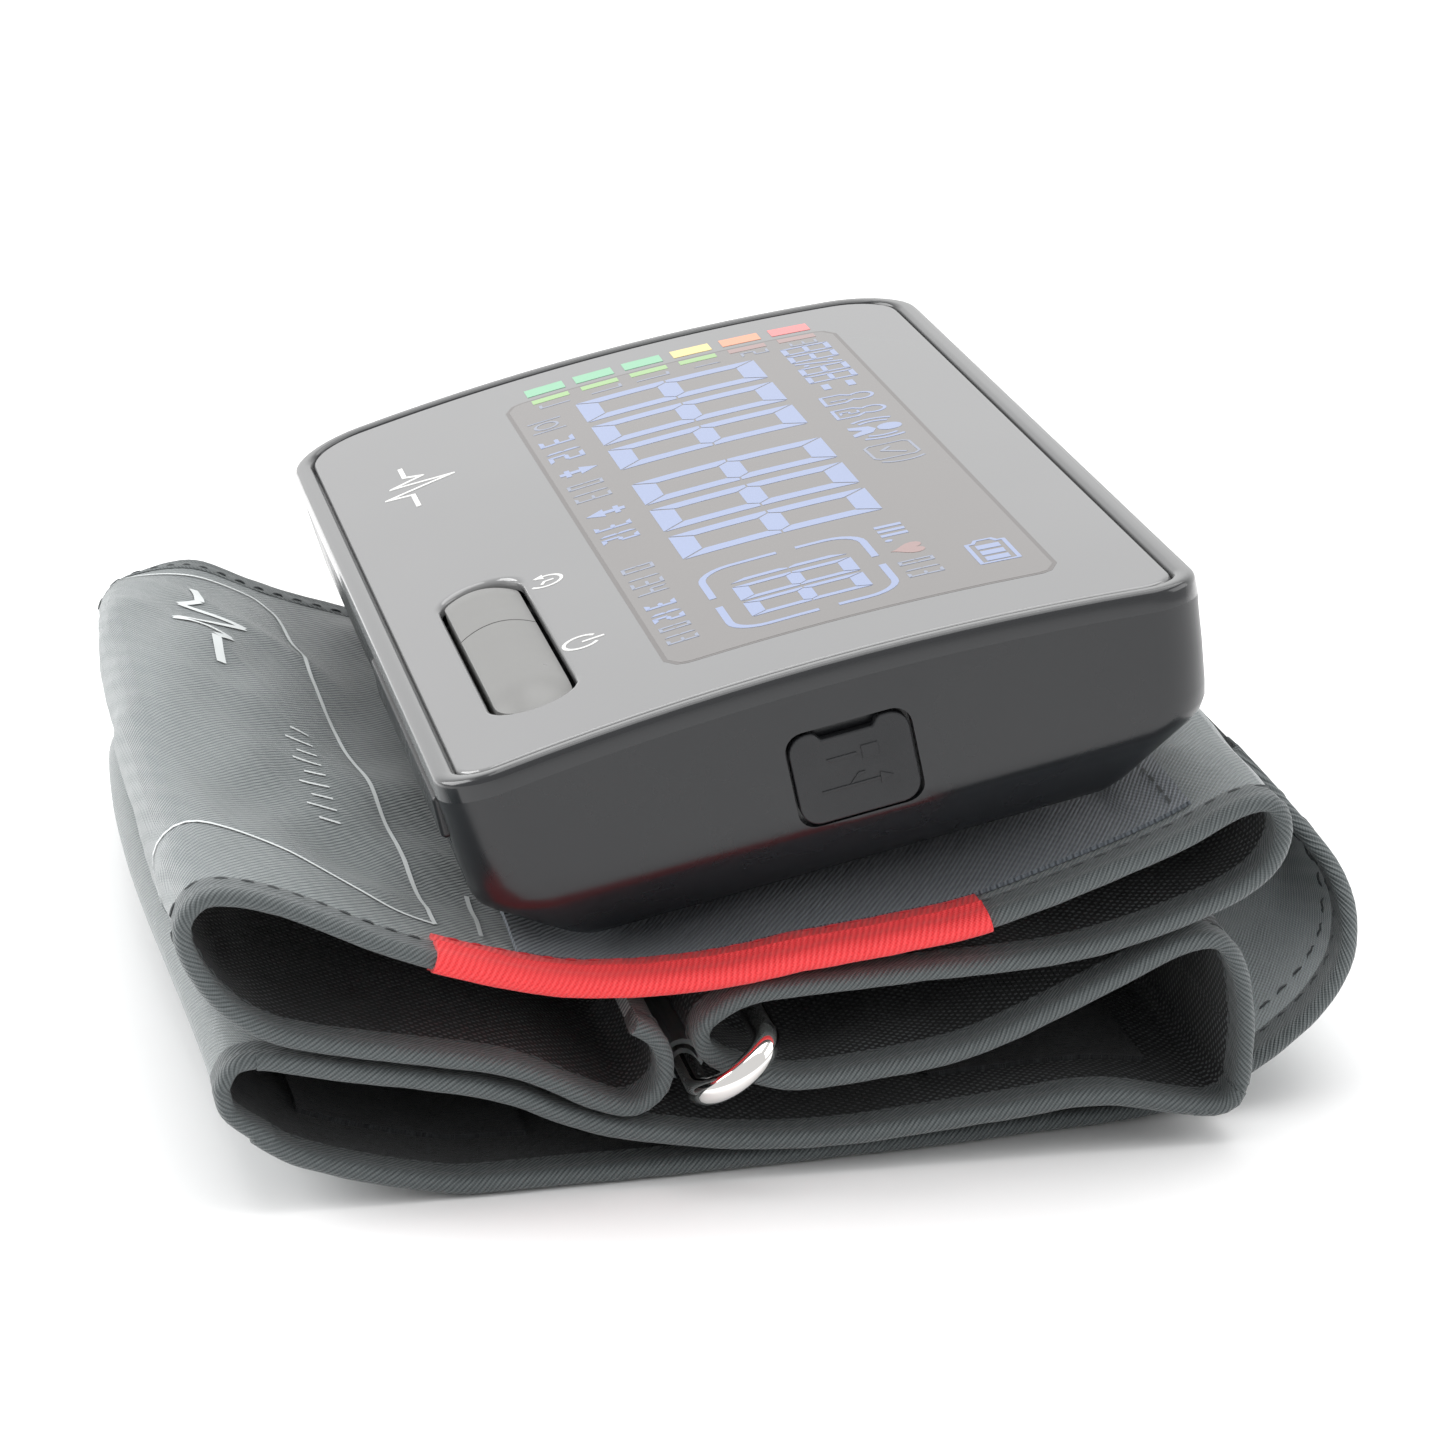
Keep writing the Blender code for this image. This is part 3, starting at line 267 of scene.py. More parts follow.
# for each kind of material, its names with what the kind's function takes after the name
LOOKS = {
    plastic: {
        "panel": ((0.214, 0.215, 0.217), 0.10, 0.0, 0.6, 0.04),
        # the rim's last colour is a painted reflection of the pale room, used at shallow angles
        "rim": ((0.010, 0.011, 0.013), 0.16, 0.0, 0.25, 0.05, (0.190, 0.192, 0.193)),
        "case": ((0.013, 0.014, 0.016), 0.27, 0.15),
        "key": ((0.213, 0.212, 0.207), 0.34, 0.35),
        "cover": ((0.012, 0.013, 0.015), 0.50, 0.6),
        "gap": ((0.008, 0.008, 0.009), 0.6),
        "lcd": ((0.190, 0.180, 0.176), 0.08, 0.0, 0.6, 0.04),
        "lcd_edge": ((0.165, 0.155, 0.152), 0.10),
        "segment": ((0.27, 0.33, 0.52), 0.10, 0.0, 0.6, 0.04),
        "faint": ((0.25, 0.28, 0.37), 0.10, 0.0, 0.6, 0.04),
        "print": ((0.72, 0.72, 0.71), 0.25),
        "red": ((0.78, 0.20, 0.20), 0.15, 0.0, 0.5),
        "orange": ((0.80, 0.32, 0.18), 0.15, 0.0, 0.5),
        "yellow": ((0.82, 0.66, 0.26), 0.15, 0.0, 0.5),
        "green": ((0.22, 0.52, 0.32), 0.15, 0.0, 0.5),
        "leaf": ((0.30, 0.50, 0.20), 0.15, 0.0, 0.5),
        "faded": ((0.34, 0.22, 0.21), 0.12, 0.0, 0.5),
        "white_plastic": ((0.74, 0.74, 0.71), 0.45, 0.2),
        "board": ((0.02, 0.15, 0.06), 0.35, 0.4),
        "chip": ((0.015, 0.015, 0.016), 0.5, 0.4),
        "silicone": ((0.66, 0.66, 0.63), 0.45),
        "battery": ((0.03, 0.17, 0.40), 0.35),
        "foam": ((0.05, 0.05, 0.05), 0.9, 1.0),
        "film": ((0.50, 0.52, 0.56), 0.35),
        "white_ink": ((0.66, 0.69, 0.69), 0.6)},
    metal: {
        "chrome": ((0.82, 0.80, 0.78), 0.045),
        "steel": ((0.58, 0.58, 0.58), 0.28, 0.5),
        "brass": ((0.72, 0.52, 0.20), 0.25, 0.3)},
    woven: {
        "nylon": ((0.085, 0.106, 0.110), (0.185, 0.212, 0.216), 0.00062, 0.38, 0.45, 0.8, 0.5, 0.00008),
        # tab: the cuff's nylon painted lighter, to make up for the shade that the tab lies in
        "tab": ((0.180, 0.212, 0.220), (0.330, 0.372, 0.380), 0.00062, 0.38, 0.5, 0.8, 0.5, 0.00008),
        "patch": ((0.080, 0.094, 0.110), (0.255, 0.285, 0.320), 0.00062, 0.45, 0.25, 0.6),
        "binding": ((0.040, 0.049, 0.051), (0.135, 0.153, 0.156), 0.00056, 0.6, 0.2, 0.9, 0.4, 0.00007),
        "tape": ((0.80, 0.014, 0.020), (1.0, 0.070, 0.075), 0.0006, 0.55, 0.15, 0.35, 0.2, 0.00008),
        "thread": ((0.032, 0.038, 0.040), (0.080, 0.088, 0.090), 0.0005, 0.7, 0.2),
        "red_thread": ((0.45, 0.012, 0.02), (0.62, 0.03, 0.04), 0.0005, 0.7, 0.2)},
    spacer_mesh: {
        # the mesh's second colour is the painted highlight on its loops
        "mesh": ((0.006, 0.007, 0.008), (0.25, 0.27, 0.28), 0.0010)},
    pile: {
        "pile": ((0.008, 0.010, 0.012), (0.035, 0.042, 0.046))},
}
MATERIALS = {name: kind(name, *inputs) for kind, rows in LOOKS.items() for name, inputs in rows.items()}
# the material of each CAD slot that isn't named after its material
CAD_LOOKS = {
    "panel_acrylic": "panel", "rim_gloss": "rim", "case_satin": "case", "key_satin": "key",
    "rubber_black": "cover", "lcd_glass": "lcd", "board_green": "board", "chip_black": "chip",
    "battery_wrap": "battery", "nylon_grey": "nylon", "mesh_black": "mesh", "pile_black": "pile",
    "patch_blue": "patch", "binding_grey": "binding", "tape_red": "tape", "bladder_film": "film",
}


# ---- mesh building
def add_mesh(name, bm, looks, body, place, sharp=35, uvs=None):
    """A mesh in mm turned into an object in metres that rides on a body."""
    bmesh.ops.recalc_face_normals(bm, faces=bm.faces)
    mesh = bpy.data.meshes.new(name)
    if uvs:
        layer = bm.loops.layers.uv.new("UVMap")
        for face in bm.faces:
            for loop in face.loops:
                loop[layer].uv = uvs[loop.vert]
    bm.to_mesh(mesh)
    bm.free()
    mesh.transform(Matrix.Scale(MM, 4) @ (place or Matrix.Identity(4)))
    for look in looks:
        mesh.materials.append(MATERIALS[look])
    mesh.shade_smooth()
    if sharp:
        mesh.set_sharp_from_angle(angle=math.radians(sharp))
    item = bpy.data.objects.new(name, mesh)
    bpy.context.scene.collection.objects.link(item)
    if body:
        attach(item, body)
    return item


def cutter(name, bm, place=CASE_PLACE):
    tool = add_mesh("tool_" + name, bm, ["gap"], None, place)
    tool.hide_render = True
    tool.hide_viewport = True
    return tool


def carve(name, bm, look, body, tools=(), operation="DIFFERENCE", bevel=None,
          place=CASE_PLACE, sharp=35):
    """A piece cut with tools and bevelled by (width, segments, angle), with both baked into its mesh."""
    item = add_mesh(name, bm, [look], None, place, sharp)
    for tool in tools:
        modifier = item.modifiers.new(tool.name, "BOOLEAN")
        modifier.operation = operation
        modifier.solver = "EXACT"
        modifier.object = tool
    if bevel:
        width, segments, angle = bevel
        modifier = item.modifiers.new("bevel", "BEVEL")
        modifier.width = width * MM
        modifier.segments = segments
        modifier.limit_method = "ANGLE"
        modifier.angle_limit = math.radians(angle)
        modifier.harden_normals = True
    graph = bpy.context.evaluated_depsgraph_get()
    graph.update()
    made = bpy.data.meshes.new_from_object(item.evaluated_get(graph), depsgraph=graph)
    item.modifiers.clear()
    item.data = made
    for tool in tools:
        bpy.data.objects.remove(tool)
    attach(item, body)
    return item


def skin(bm, loops, closed=False):
    """Faces between loops of points, with a cap on each end unless they close up; gives the rings
    of verts."""
    rings = [[bm.verts.new(point) for point in loop] for loop in loops]
    count = len(rings[0])
    for a, b in list(zip(rings, rings[1:])) + ([(rings[-1], rings[0])] if closed else []):
        for i in range(count):
            j = (i + 1) % count
            bm.faces.new((a[i], a[j], b[j], b[i]))
    if not closed:
        bm.faces.new(rings[0][::-1])
        bm.faces.new(rings[-1])
    return rings


def loft(loops, closed=False):
    bm = bmesh.new()
    skin(bm, loops, closed)
    return bm


def arc(cx, cy, radius, start, end, steps):
    turn = [math.radians(start + (end - start) * i / steps) for i in range(steps + 1)]
    return [(cx + radius * math.cos(a), cy + radius * math.sin(a)) for a in turn]


def between(p, q, t):
    return p[0] + (q[0] - p[0]) * t, p[1] + (q[1] - p[1]) * t


def arch(y):
    return ARCH_CREST - y * y / (2 * ARCH_RADIUS)


def outline(inset, added=0.0, side_steps=14, corner_steps=9):
    """The case's plan outline moved in by inset, with points along the sides too."""
    hx, hy = CASE_LENGTH / 2 - inset, CASE_WIDTH / 2 - inset
    near = max(CORNER_NEAR - inset + added, 0.8)
    far = max(CORNER_FAR - inset + added, 0.8)
    quarters = ((1, -1, near, -90), (1, 1, near, 0), (-1, 1, far, 90), (-1, -1, far, 180))
    corners = [arc(sx * (hx - r), sy * (hy - r), r, start, start + 90, corner_steps)
               for sx, sy, r, start in quarters]
    points = []
    for corner, following in zip(corners, corners[1:] + corners[:1]):
        points += corner
        points += [between(corner[-1], following[0], k / side_steps) for k in range(1, side_steps)]
    return points


def on_arch(points, lift):
    return [(x, y, arch(y) + lift) for x, y in points]


def at_height(points, z):
    return [(x, y, z) for x, y in points]


def prism(points, low, high):
    return loft([at_height(points, low), at_height(points, high)])


def sideways_prism(points, back, front):
    """A prism along X on (y, z) points."""
    return loft([[(x, y, z) for y, z in points] for x in (back, front)])


def box(size, centre):
    bm = bmesh.new()
    bmesh.ops.create_cube(bm, size=1.0)
    bmesh.ops.scale(bm, vec=size, verts=bm.verts)
    bmesh.ops.translate(bm, vec=centre, verts=bm.verts)
    return bm


def stadium(x0, x1, shrink, round_start=True, round_end=True, steps=14):
    """The outline of a key, or with both ends round that of the two keys' opening."""
    half = KEY_HALF - shrink
    if round_end:
        points = arc(x1 - shrink - half, KEY_Y, half, -90, 90, steps)
    else:
        points = [(x1, KEY_Y - half), (x1, KEY_Y + half)]
    if round_start:
        return points + arc(x0 + shrink + half, KEY_Y, half, 90, 270, steps)
    return points + [(x0, KEY_Y + half), (x0, KEY_Y - half)]


# ---- the case
def port_place():
    """The foot of the port cover, on the leaning wall."""
    foot = COVER_CENTRE[1] - COVER_SIZE[1] / 2
    wall = CASE_LENGTH / 2 - WALL_INSET + (foot - WALL_TOP) * WALL_RUN / WALL_DROP
    lean = Matrix.Rotation(math.atan2(WALL_RUN, WALL_DROP), 4, "Y")
    return CASE_PLACE @ Matrix.Translation((wall, COVER_CENTRE[0], foot)) @ lean


def cover_outline(grow, notch):
    half, top, radius = COVER_SIZE[0] / 2 + grow, COVER_SIZE[1] + grow, 1.9
    points = arc(-half + radius, radius - grow, radius, 180, 270, 6)
    points += arc(half - radius, radius - grow, radius, 270, 360, 6)
    points += arc(half - radius, top - radius, radius, 0, 90, 6)
    if notch:
        points += [(3.3, top), (2.9, top - 0.3), (2.5, top - 0.9), (-2.7, top - 0.9), (-3.1, top - 0.3),
                   (-3.5, top)]
    return points + arc(-half + radius, top - radius, radius, 90, 180, 6)


def add_housing():
    """The leaning walls, bevelled skirt and floor, hollow as the real shell is."""
    floor = CASE_BOTTOM + 2.0
    outside, inside = [], []
    for z, inset, added in HOUSING_LEVELS:
        outer, inner = outline(inset, added), outline(inset + WALL_THICKNESS, added)
        if z is None:
            outside.append(on_arch(outer, SHELL_TOP))
            inside.append(on_arch(inner, SHELL_TOP_INSIDE))
        else:
            outside.append(at_height(outer, z))
            if z > floor:
                inside.append(at_height(inner, z))
    inside.append(at_height(outline(13.0, 7.0), floor))
    recess = sideways_prism(cover_outline(0.32, False), -1.3, 2.0)
    tools = (cutter("recess", recess, port_place()),
             cutter("slot", box((8, 9.6, 4.6), (0, 0, 4.7)), port_place()),
             cutter("vent", box((9.0, 1.6, 1.1), (52.0, -CASE_WIDTH / 2 + 0.2, -9.0))))
    shell = carve("case_shell", loft(inside[::-1] + outside), "case", ROOT, tools,
                  bevel=(0.18, 2, 50), sharp=40)
    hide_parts("base_housing")
    pad = box((47.0, 2.2, 4.4), (34.5, -CASE_WIDTH / 2 + 0.75, -5.8))
    carve("side_pad", pad, "case", ROOT, bevel=(0.5, 4, 35))


def add_rim():
    """The glossy rounded lip round the panel, with the ledge that the panel sits in."""
    loops = [on_arch(outline(inset), lift) for inset, lift in RIM_SECTION]
    rim = add_mesh("rim", loft(loops, True), ["rim"], ROOT, CASE_PLACE, 50)
    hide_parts("top_cover")


def opening_point(direction, grow):
    """Where a ray from the key opening's centre leaves the opening's stadium outline."""
    radius = KEY_HALF + grow
    half = (KEY_X[1] - KEY_X[0]) / 2 + grow - radius
    c, d = direction
    reach = radius / max(1e-6, abs(d))
    if abs(c) * reach > half:
        reach = half * abs(c) + math.sqrt(max(0.0, radius ** 2 - (half * d) ** 2))
    return reach * c, reach * d


def add_panel():
    """The arched front sheet, one ring of points after another from its rim in to the key opening."""
    middle = Vector(((KEY_X[0] + KEY_X[1]) / 2, KEY_Y))

    def outer(inset, lift):
        return on_arch(outline(RIM_WIDTH + PANEL_GAP + inset, 0.0, 40, 10), lift)

    rays = [(Vector(p[:2]) - middle).normalized() for p in outer(0.0, 0.0)]

    def inner(grow, lift):
        return on_arch([tuple(middle + Vector(opening_point(ray, grow))) for ray in rays], lift)

    chamfer = ((0.0, -0.40), (0.06, -0.22), (0.18, -0.07), (0.38, 0.0))
    loops = [outer(0.0, -PANEL_DEPTH)] + [outer(inset, lift) for inset, lift in chamfer]
    start, finish = outer(0.5, 0.0), inner(0.95, 0.0)
    steps = 28
    for i in range(steps + 1):
        t = i / steps
        t *= 1.6 - 0.6 * t
        loops.append(on_arch([between(p, q, t) for p, q in zip(start, finish)], 0.0))
    loops += [inner(0.25 + inset * 1.5, lift * 1.3) for inset, lift in chamfer[::-1]]
    loops.append(inner(0.25, -PANEL_DEPTH))
    panel = add_mesh("panel", loft(loops, True), ["panel"], ROOT, CASE_PLACE, 60)
    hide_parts("front_panel")


def add_linings():
    """The black floor of the key opening, with a hole for each switch, and the panel's backing."""
    holes = [cutter(f"stem_hole_{i}", prism(arc(x, KEY_Y, STEM_HOLE_RADIUS, 0, 345, 23), -8, -5))
             for i, x in enumerate(SWITCH_X)]
    opening = cutter("sheet_opening", prism(stadium(*KEY_X, -0.6), -12, 8))
    for name, points, low, high, tools in (
            ("key_well", stadium(*KEY_X, -0.9), -6.5, -6.2, holes),
            ("panel_backing", outline(RIM_WIDTH + 1.0), -3.4, -3.0, [opening])):
        carve(name, prism(points, low, high), "gap", ROOT, tools)


def add_keys():
    """Barrel-shaped keys with softened edges, each on its own slide."""
    half, steps = 5.5, 24
    spans = (("mem_button", KEY_X[0], KEY_SPLIT - KEY_GAP, True, False),
             ("power_button", KEY_SPLIT + KEY_GAP, KEY_X[1], False, True))
    for name, x0, x1, round_start, round_end in spans:
        plan = prism(stadium(x0, x1, 0.28, round_start, round_end, 20), -5.3, 5)
        sections = []
        for step in range(steps + 1):
            x = x0 - 1 + (x1 - x0 + 2) * step / steps
            from_end = x - x0 if round_start else x1 - x
            crest = arch(KEY_Y) + KEY_CREST - 1.5 * max(0.0, 1.0 - from_end / 6.5) ** 2
            section = [(x, KEY_Y - half, -6.0), (x, KEY_Y + half, -6.0)]
            for i in range(steps + 1):
                y = half - 2 * half * i / steps
                section.append((x, KEY_Y + y, crest - y * y / (2 * KEY_CROWN_RADIUS)))
            sections.append(section)
        barrel = cutter(name, loft(sections))
        key = carve(name + "_cap", plan, "key", name, [barrel], "INTERSECT", (0.55, 5, 40))
        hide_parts(name)


def add_port_cover():
    """The soft cover over the charging port, with a raised plug sign on it and a plug behind."""
    signs = (((-2.6, 6.4), (-2.2, 6.0), (0.4, 6.0), (0.4, 6.4)),
             ((0.9, 5.5), (2.6, 5.5), (2.6, 6.9), (0.9, 6.9)),
             ((-3.6, 3.3), (-3.4, 3.0), (2.2, 3.0), (2.2, 3.3)), ((2.2, 2.5), (3.5, 3.15), (2.2, 3.8)),
             ((-0.8, 3.3), (0.2, 4.3), (0.9, 4.3), (0.9, 4.0), (0.35, 4.0), (-0.4, 3.3)))
    raised = bmesh.new()
    for sign in signs:
        skin(raised, [[(x, y, z) for y, z in sign] for x in (-0.05, 0.16)])
    for name, bm, bevel in (
            ("port_cover", sideways_prism(cover_outline(0.0, True), -1.0, 0.05), (0.22, 3, 40)),
            ("port_cover_sign", raised, (0.07, 2, 40)),
            ("port_plug", box((1.7, 7.2, 1.8), (-1.7, 0, 4.7)), (0.25, 2, 35))):
        carve(name, bm, "cover", "usb_port_cover", bevel=bevel,
                            place=port_place())
    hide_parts("usb_port_cover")


# ---- printed and displayed marks
class Drawing:
    """Flat shapes in display coordinates: mm from the first large digit's lower left corner."""

    ORIGIN = (-45.45, -5.35)
    LONGEST_STEP = 2.2
    SUNK = 0.05

    def __init__(self, name, look, lift=0.06, slot="lcd_glass"):
        self.name, self.look, self.lift, self.slot = name, look, lift, slot
        self.bm = bmesh.new()

    def shape(self, points):
        """A flat shape that follows the arch, because its edges are split into short steps in Y."""
        ox, oy = self.ORIGIN
        dense = []
        for p, q in zip(points, [*points[1:], points[0]]):
            parts = 1 + int(abs(q[1] - p[1]) / self.LONGEST_STEP)
            dense += [between(p, q, k / parts) for k in range(parts)]
        dense = [(x + ox, y + oy) for x, y in dense]
        skin(self.bm, [on_arch(dense, -self.SUNK), on_arch(dense, self.lift)])

    def bar(self, x0, y0, x1, y1):
        self.shape(((x0, y0), (x1, y0), (x1, y1), (x0, y1)))

    def stroke(self, points, width, closed=False):
        """A line of even width: one bar for each run, mitred at gentle bends, with a disc at sharp ones."""
        count = len(points)
        sides = []
        for i, point in enumerate(points):
            here = Vector(point)
            before = Vector(points[i - 1]) if i or closed else None
            after = Vector(points[(i + 1) % count]) if i + 1 < count or closed else None
            a = (here - before).normalized() if before else (after - here).normalized()
            b = (after - here).normalized() if after else a
            middle = (a + b).normalized()
            sharp = middle.dot(a) < 0.75
            pair = []
            for way in (a, b):
                way = way if sharp else middle
                side = Vector((-way.y, way.x)) * width / 2 / (1.0 if sharp else middle.dot(a))
                pair.append((here + side, here - side))
            sides.append(pair)
            if sharp:
                self.disc(here.x, here.y, width / 2)
        for i in range(count if closed else count - 1):
            (a, b), (c, d) = sides[i][1], sides[(i + 1) % count][0]
            self.shape([tuple(p) for p in (b, d, c, a)])

    def ring(self, cx, cy, radius, width, start=0, end=360):
        points = arc(cx, cy, radius, start, end, max(6, int(abs(end - start) / 15)))
        whole = end - start >= 360
        self.stroke(points[:-1] if whole else points, width, whole)

    def disc(self, cx, cy, radius):
        self.shape(arc(cx, cy, radius, 0, 345, 23 if radius > 0.5 else 11))

    def digit(self, x, y, width, height, side, code, gap=0.04, cap=None):
        """Seven segments with mitred ends; code is the lit ones out of "abcdefg"."""
        w, h, t = width, height / 2, side
        c = cap or side
        g = gap / 2
        low_bar = ((2 * g, 0), (w - 2 * g, 0), (w - t - g, c - g), (t + g, c - g))
        low_side = ((0, 2 * g), (t - g, c + g), (t - g, h - c / 2 - g), (t * 0.5 - g, h - g), (0, h - g))
        middle = ((t * 0.5 + g, h), (t + g, h - c / 2 + g), (w - t - g, h - c / 2 + g),
                  (w - t * 0.5 - g, h), (w - t - g, h + c / 2 - g), (t + g, h + c / 2 - g))
        for letter in code:
            points = middle if letter == "g" else low_bar if letter in "ad" else low_side
            mirrored, raised = letter in "bc", letter in "abf"
            placed = [(x + (w - px if mirrored else px), y + (2 * h - py if raised else py))
                      for px, py in points]
            self.shape(placed[::-1] if mirrored != raised else placed)

    def digits(self, x0, x1, y, height, side, codes, fill):
        """A row of narrow digits from x0 to x1; fill is a digit's share of its pitch."""
        pitch = (x1 - x0) / len(codes)
        for i, code in enumerate(codes):
            self.digit(x0 + pitch * i, y, pitch * fill, height, side, code)

    def done(self):
        add_mesh(self.name, self.bm, [self.look], ROOT, CASE_PLACE, 40)


ALL = "abcdefg"
ONE, TWO, THREE = "bc", "abged", "abgcd"


def add_window():
    """The display window and its slightly darker border, as arched sheets just over the panel."""
    steps = 40
    sheets = (("lcd_border", "lcd_edge", 0.0, 0.015), ("lcd_window", "lcd", -0.45, 0.03))
    for name, look, grow, lift in sheets:
        hx, hy, radius = WINDOW_HALF[0] + grow, WINDOW_HALF[1] + grow, WINDOW_CORNER + grow
        rows = []
        for i in range(steps + 1):
            t = -hy + 2 * hy * i / steps
            edge = max(0.0, abs(t) - (hy - radius))
            pull = radius - math.sqrt(max(0.0, radius * radius - edge * edge))
            y = WINDOW_CENTRE[1] + t
            low, high = arch(y) - 0.05, arch(y) + lift
            x0, x1 = WINDOW_CENTRE[0] - hx + pull, WINDOW_CENTRE[0] + hx - pull
            rows.append([(x0, y, low), (x1, y, low), (x1, y, high), (x0, y, high)])
        add_mesh(name, loft(rows), [look], ROOT, CASE_PLACE, 40)


def add_large_digits():
    """Two groups of three digits, all segments lit."""
    big = Drawing("large_digits", "segment")
    for i in range(6):
        big.digit(10.9 * i + (4.3 if i > 2 else 0.0), 0.0, 8.8, 21.2, 1.95, ALL, 0.2, 2.5)
    big.done()


def add_top_row():
    """The date and time, the two users, a figure between arcs and a box with a tick."""
    small = Drawing("small_marks", "segment")
    for x in (-1.7, 2.1, 8.3, 12.1):
        small.digit(x, 24.7, 3.1, 5.6, 0.5, ALL, 0.1, 0.7)
    small.stroke(((6.0, 24.9), (7.6, 30.1)), 0.45)
    small.disc(6.2, 29.0, 0.35)
    small.disc(7.4, 26.0, 0.35)
    for y in (28.4, 25.6):
        small.bar(16.6, y, 18.9, y + 0.9)
    for x, code in ((21.7, ONE), (27.9, TWO)):
        small.ring(x + 2.1, 28.6, 1.35, 0.4, -50, 230)
        small.stroke(((x + 1.2, 27.6), (x + 0.3, 26.6), (x + 0.3, 24.4), (x + 3.9, 24.4), (x + 3.9, 26.6),
                      (x + 3.0, 27.6)), 0.4)
        small.digit(x + 1.5, 24.9, 1.2, 2.2, 0.3, code)
    small.disc(38.0, 28.7, 1.35)
    small.shape(((36.0, 24.4), (37.0, 24.4), (38.0, 25.7), (39.0, 24.4), (40.0, 24.4), (39.3, 26.6),
                 (38.0, 27.2), (36.7, 26.6)))
    for radius in (3.0, 4.1):
        for start in (-32, 148):
            small.ring(38.0, 27.4, radius, 0.45, start, start + 64)
    small.done()

    ticked = Drawing("outline_marks", "faint")
    ticked.stroke(((44.6, 24.8), (44.4, 28.6), (45.0, 29.2), (49.3, 29.4), (50.0, 28.8), (50.1, 25.0),
                   (49.5, 24.5), (45.2, 24.3)), 0.3, True)
    ticked.stroke(((45.8, 26.9), (46.9, 25.8), (48.8, 28.1)), 0.4)
    ticked.ring(48.4, 27.2, 3.6, 0.35, -40, 40)
    ticked.done()


def add_pulse():
    """The pulse reading in its four corner lines."""
    pulse = Drawing("pulse_marks", "segment")
    for x, width, code in ((76.0, 3.6, ONE), (80.8, 4.9, ALL), (86.4, 4.9, ALL)):
        pulse.digit(x, 2.5, width, 12.3, 0.9, code, 0.14, 1.6)
    bend, steps = 3.4, 6
    for x0, x1, inwards in ((73.6, 82.6, 1), (94.5, 85.6, -1)):
        for y0, y1, upwards in ((0.2, 8.6, 1), (17.0, 10.6, -1)):
            ex, ey = x0 + bend * inwards, y0 + bend * upwards
            turn = [math.radians(90 * k / steps) for k in range(1, steps + 1)]
            corner = [(ex + (x0 - ex) * math.sin(a), ey + (y0 - ey) * math.cos(a)) for a in turn]
            pulse.stroke([(x1, y0), (ex, y0), *corner, (x0, y1)], 0.75)
    pulse.done()


def add_battery():
    battery = Drawing("battery_mark", "segment")
    battery.stroke(((85.6, 25.6), (92.4, 25.6), (92.4, 29.4), (85.6, 29.4), (85.6, 28.7), (84.7, 28.3),
                    (84.7, 26.7), (85.6, 26.3)), 0.42, True)
    for x in (86.4, 88.4, 90.4):
        battery.bar(x, 26.3, x + 1.4, 28.7)
    battery.done()


def add_labels():
    """Small digits where the real display has words, two barred arrows, and a ring between lines."""
    labels = Drawing("label_marks", "segment")
    for x in (73.2, 74.8, 76.4):
        labels.bar(x, 18.9, x + 0.8, 21.7)
    labels.disc(78.6, 19.3, 0.4)
    for x0, x1, height in ((11.3, 21.9, 4.0), (48.6, 56.0, 4.0), (78.6, 85.8, 3.2)):
        labels.digits(x0, x1, -6.3, height, 0.55, (THREE, ONE, TWO), 0.68)
    y = -4.1
    for x, up in ((26.2, 1), (44.0, -1)):
        labels.shape(((x - 1.4, y + 0.2 * up), (x + 1.4, y + 0.2 * up), (x, y + 2.2 * up)))
        labels.bar(x - 0.5, y - 2.1 * up, x + 0.5, y + 0.3 * up)
        labels.bar(x - 1.3, y - 1.5 * up, x + 1.3, y - 0.9 * up)
    labels.done()

    fine = Drawing("fine_labels", "faint")
    for x0, x1, y, height in ((31.1, 39.0, -6.3, 4.0), (65.1, 76.1, -6.3, 3.4), (86.7, 93.1, -6.3, 3.2),
                              (86.2, 92.5, 18.4, 3.6)):
        count = max(3, round((x1 - x0) / 2.6))
        fine.digits(x0, x1, y, height, 0.38, ("abcdef", ONE, "abcdg", "bcfg")[:count], 0.66)
    fine.ring(5.2, -4.3, 1.3, 0.35)
    for x in (3.0, 7.4):
        fine.stroke(((x, -6.2), (x, -2.3)), 0.35)
    fine.done()


def add_heart():
    heart = Drawing("heart_mark", "faded")
    steps, scale = 24, 0.115
    points = []
    for i in range(steps):
        a = 2 * math.pi * i / steps
        rise = 13 * math.cos(a) - 5 * math.cos(2 * a) - 2 * math.cos(3 * a) - math.cos(4 * a)
        points.append((82.4 + scale * 16 * math.sin(a) ** 3, 20.6 + scale * rise))
    heart.shape(points[::-1])
    heart.done()


def add_scale_numbers():
    """Three numbers beside the colour scale, and the lines that tie them to it."""
    marks = Drawing("scale_numbers", "faint")
    for y, code in ((26.2, THREE), (20.4, TWO), (14.6, ONE)):
        marks.digit(-3.9, y, 1.7, 3.2, 0.34, code)
    for points in (((-3.6, 11.6), (-2.4, 11.6), (-2.4, 7.8)), ((-3.6, 5.9), (-2.4, 5.9), (-2.4, 2.4)),
                   ((-2.4, -0.2), (-2.4, -3.6), (-3.6, -3.6))):
        marks.stroke(points, 0.36)
    marks.done()


def add_colour_bars():
    """The traffic-light scale printed beside the window, and its echo inside the display."""
    looks = ("red", "orange", "yellow", "green", "green", "green")
    inner = ("faded", "faded", "leaf", "leaf", "leaf", "leaf")
    for i in range(6):
        y = 27.5 - 5.9 * i
        printed = Drawing(f"colour_bar_{i + 1}", looks[i], 0.05, "panel_acrylic")
        printed.bar(-11.6, y - 2.3, -8.5, y + 2.3)
        printed.done()
        lit = Drawing(f"scale_bar_{i + 1}", inner[i])
        lit.bar(-6.5, y - 2.2, -4.8, y + 2.2)
        lit.done()


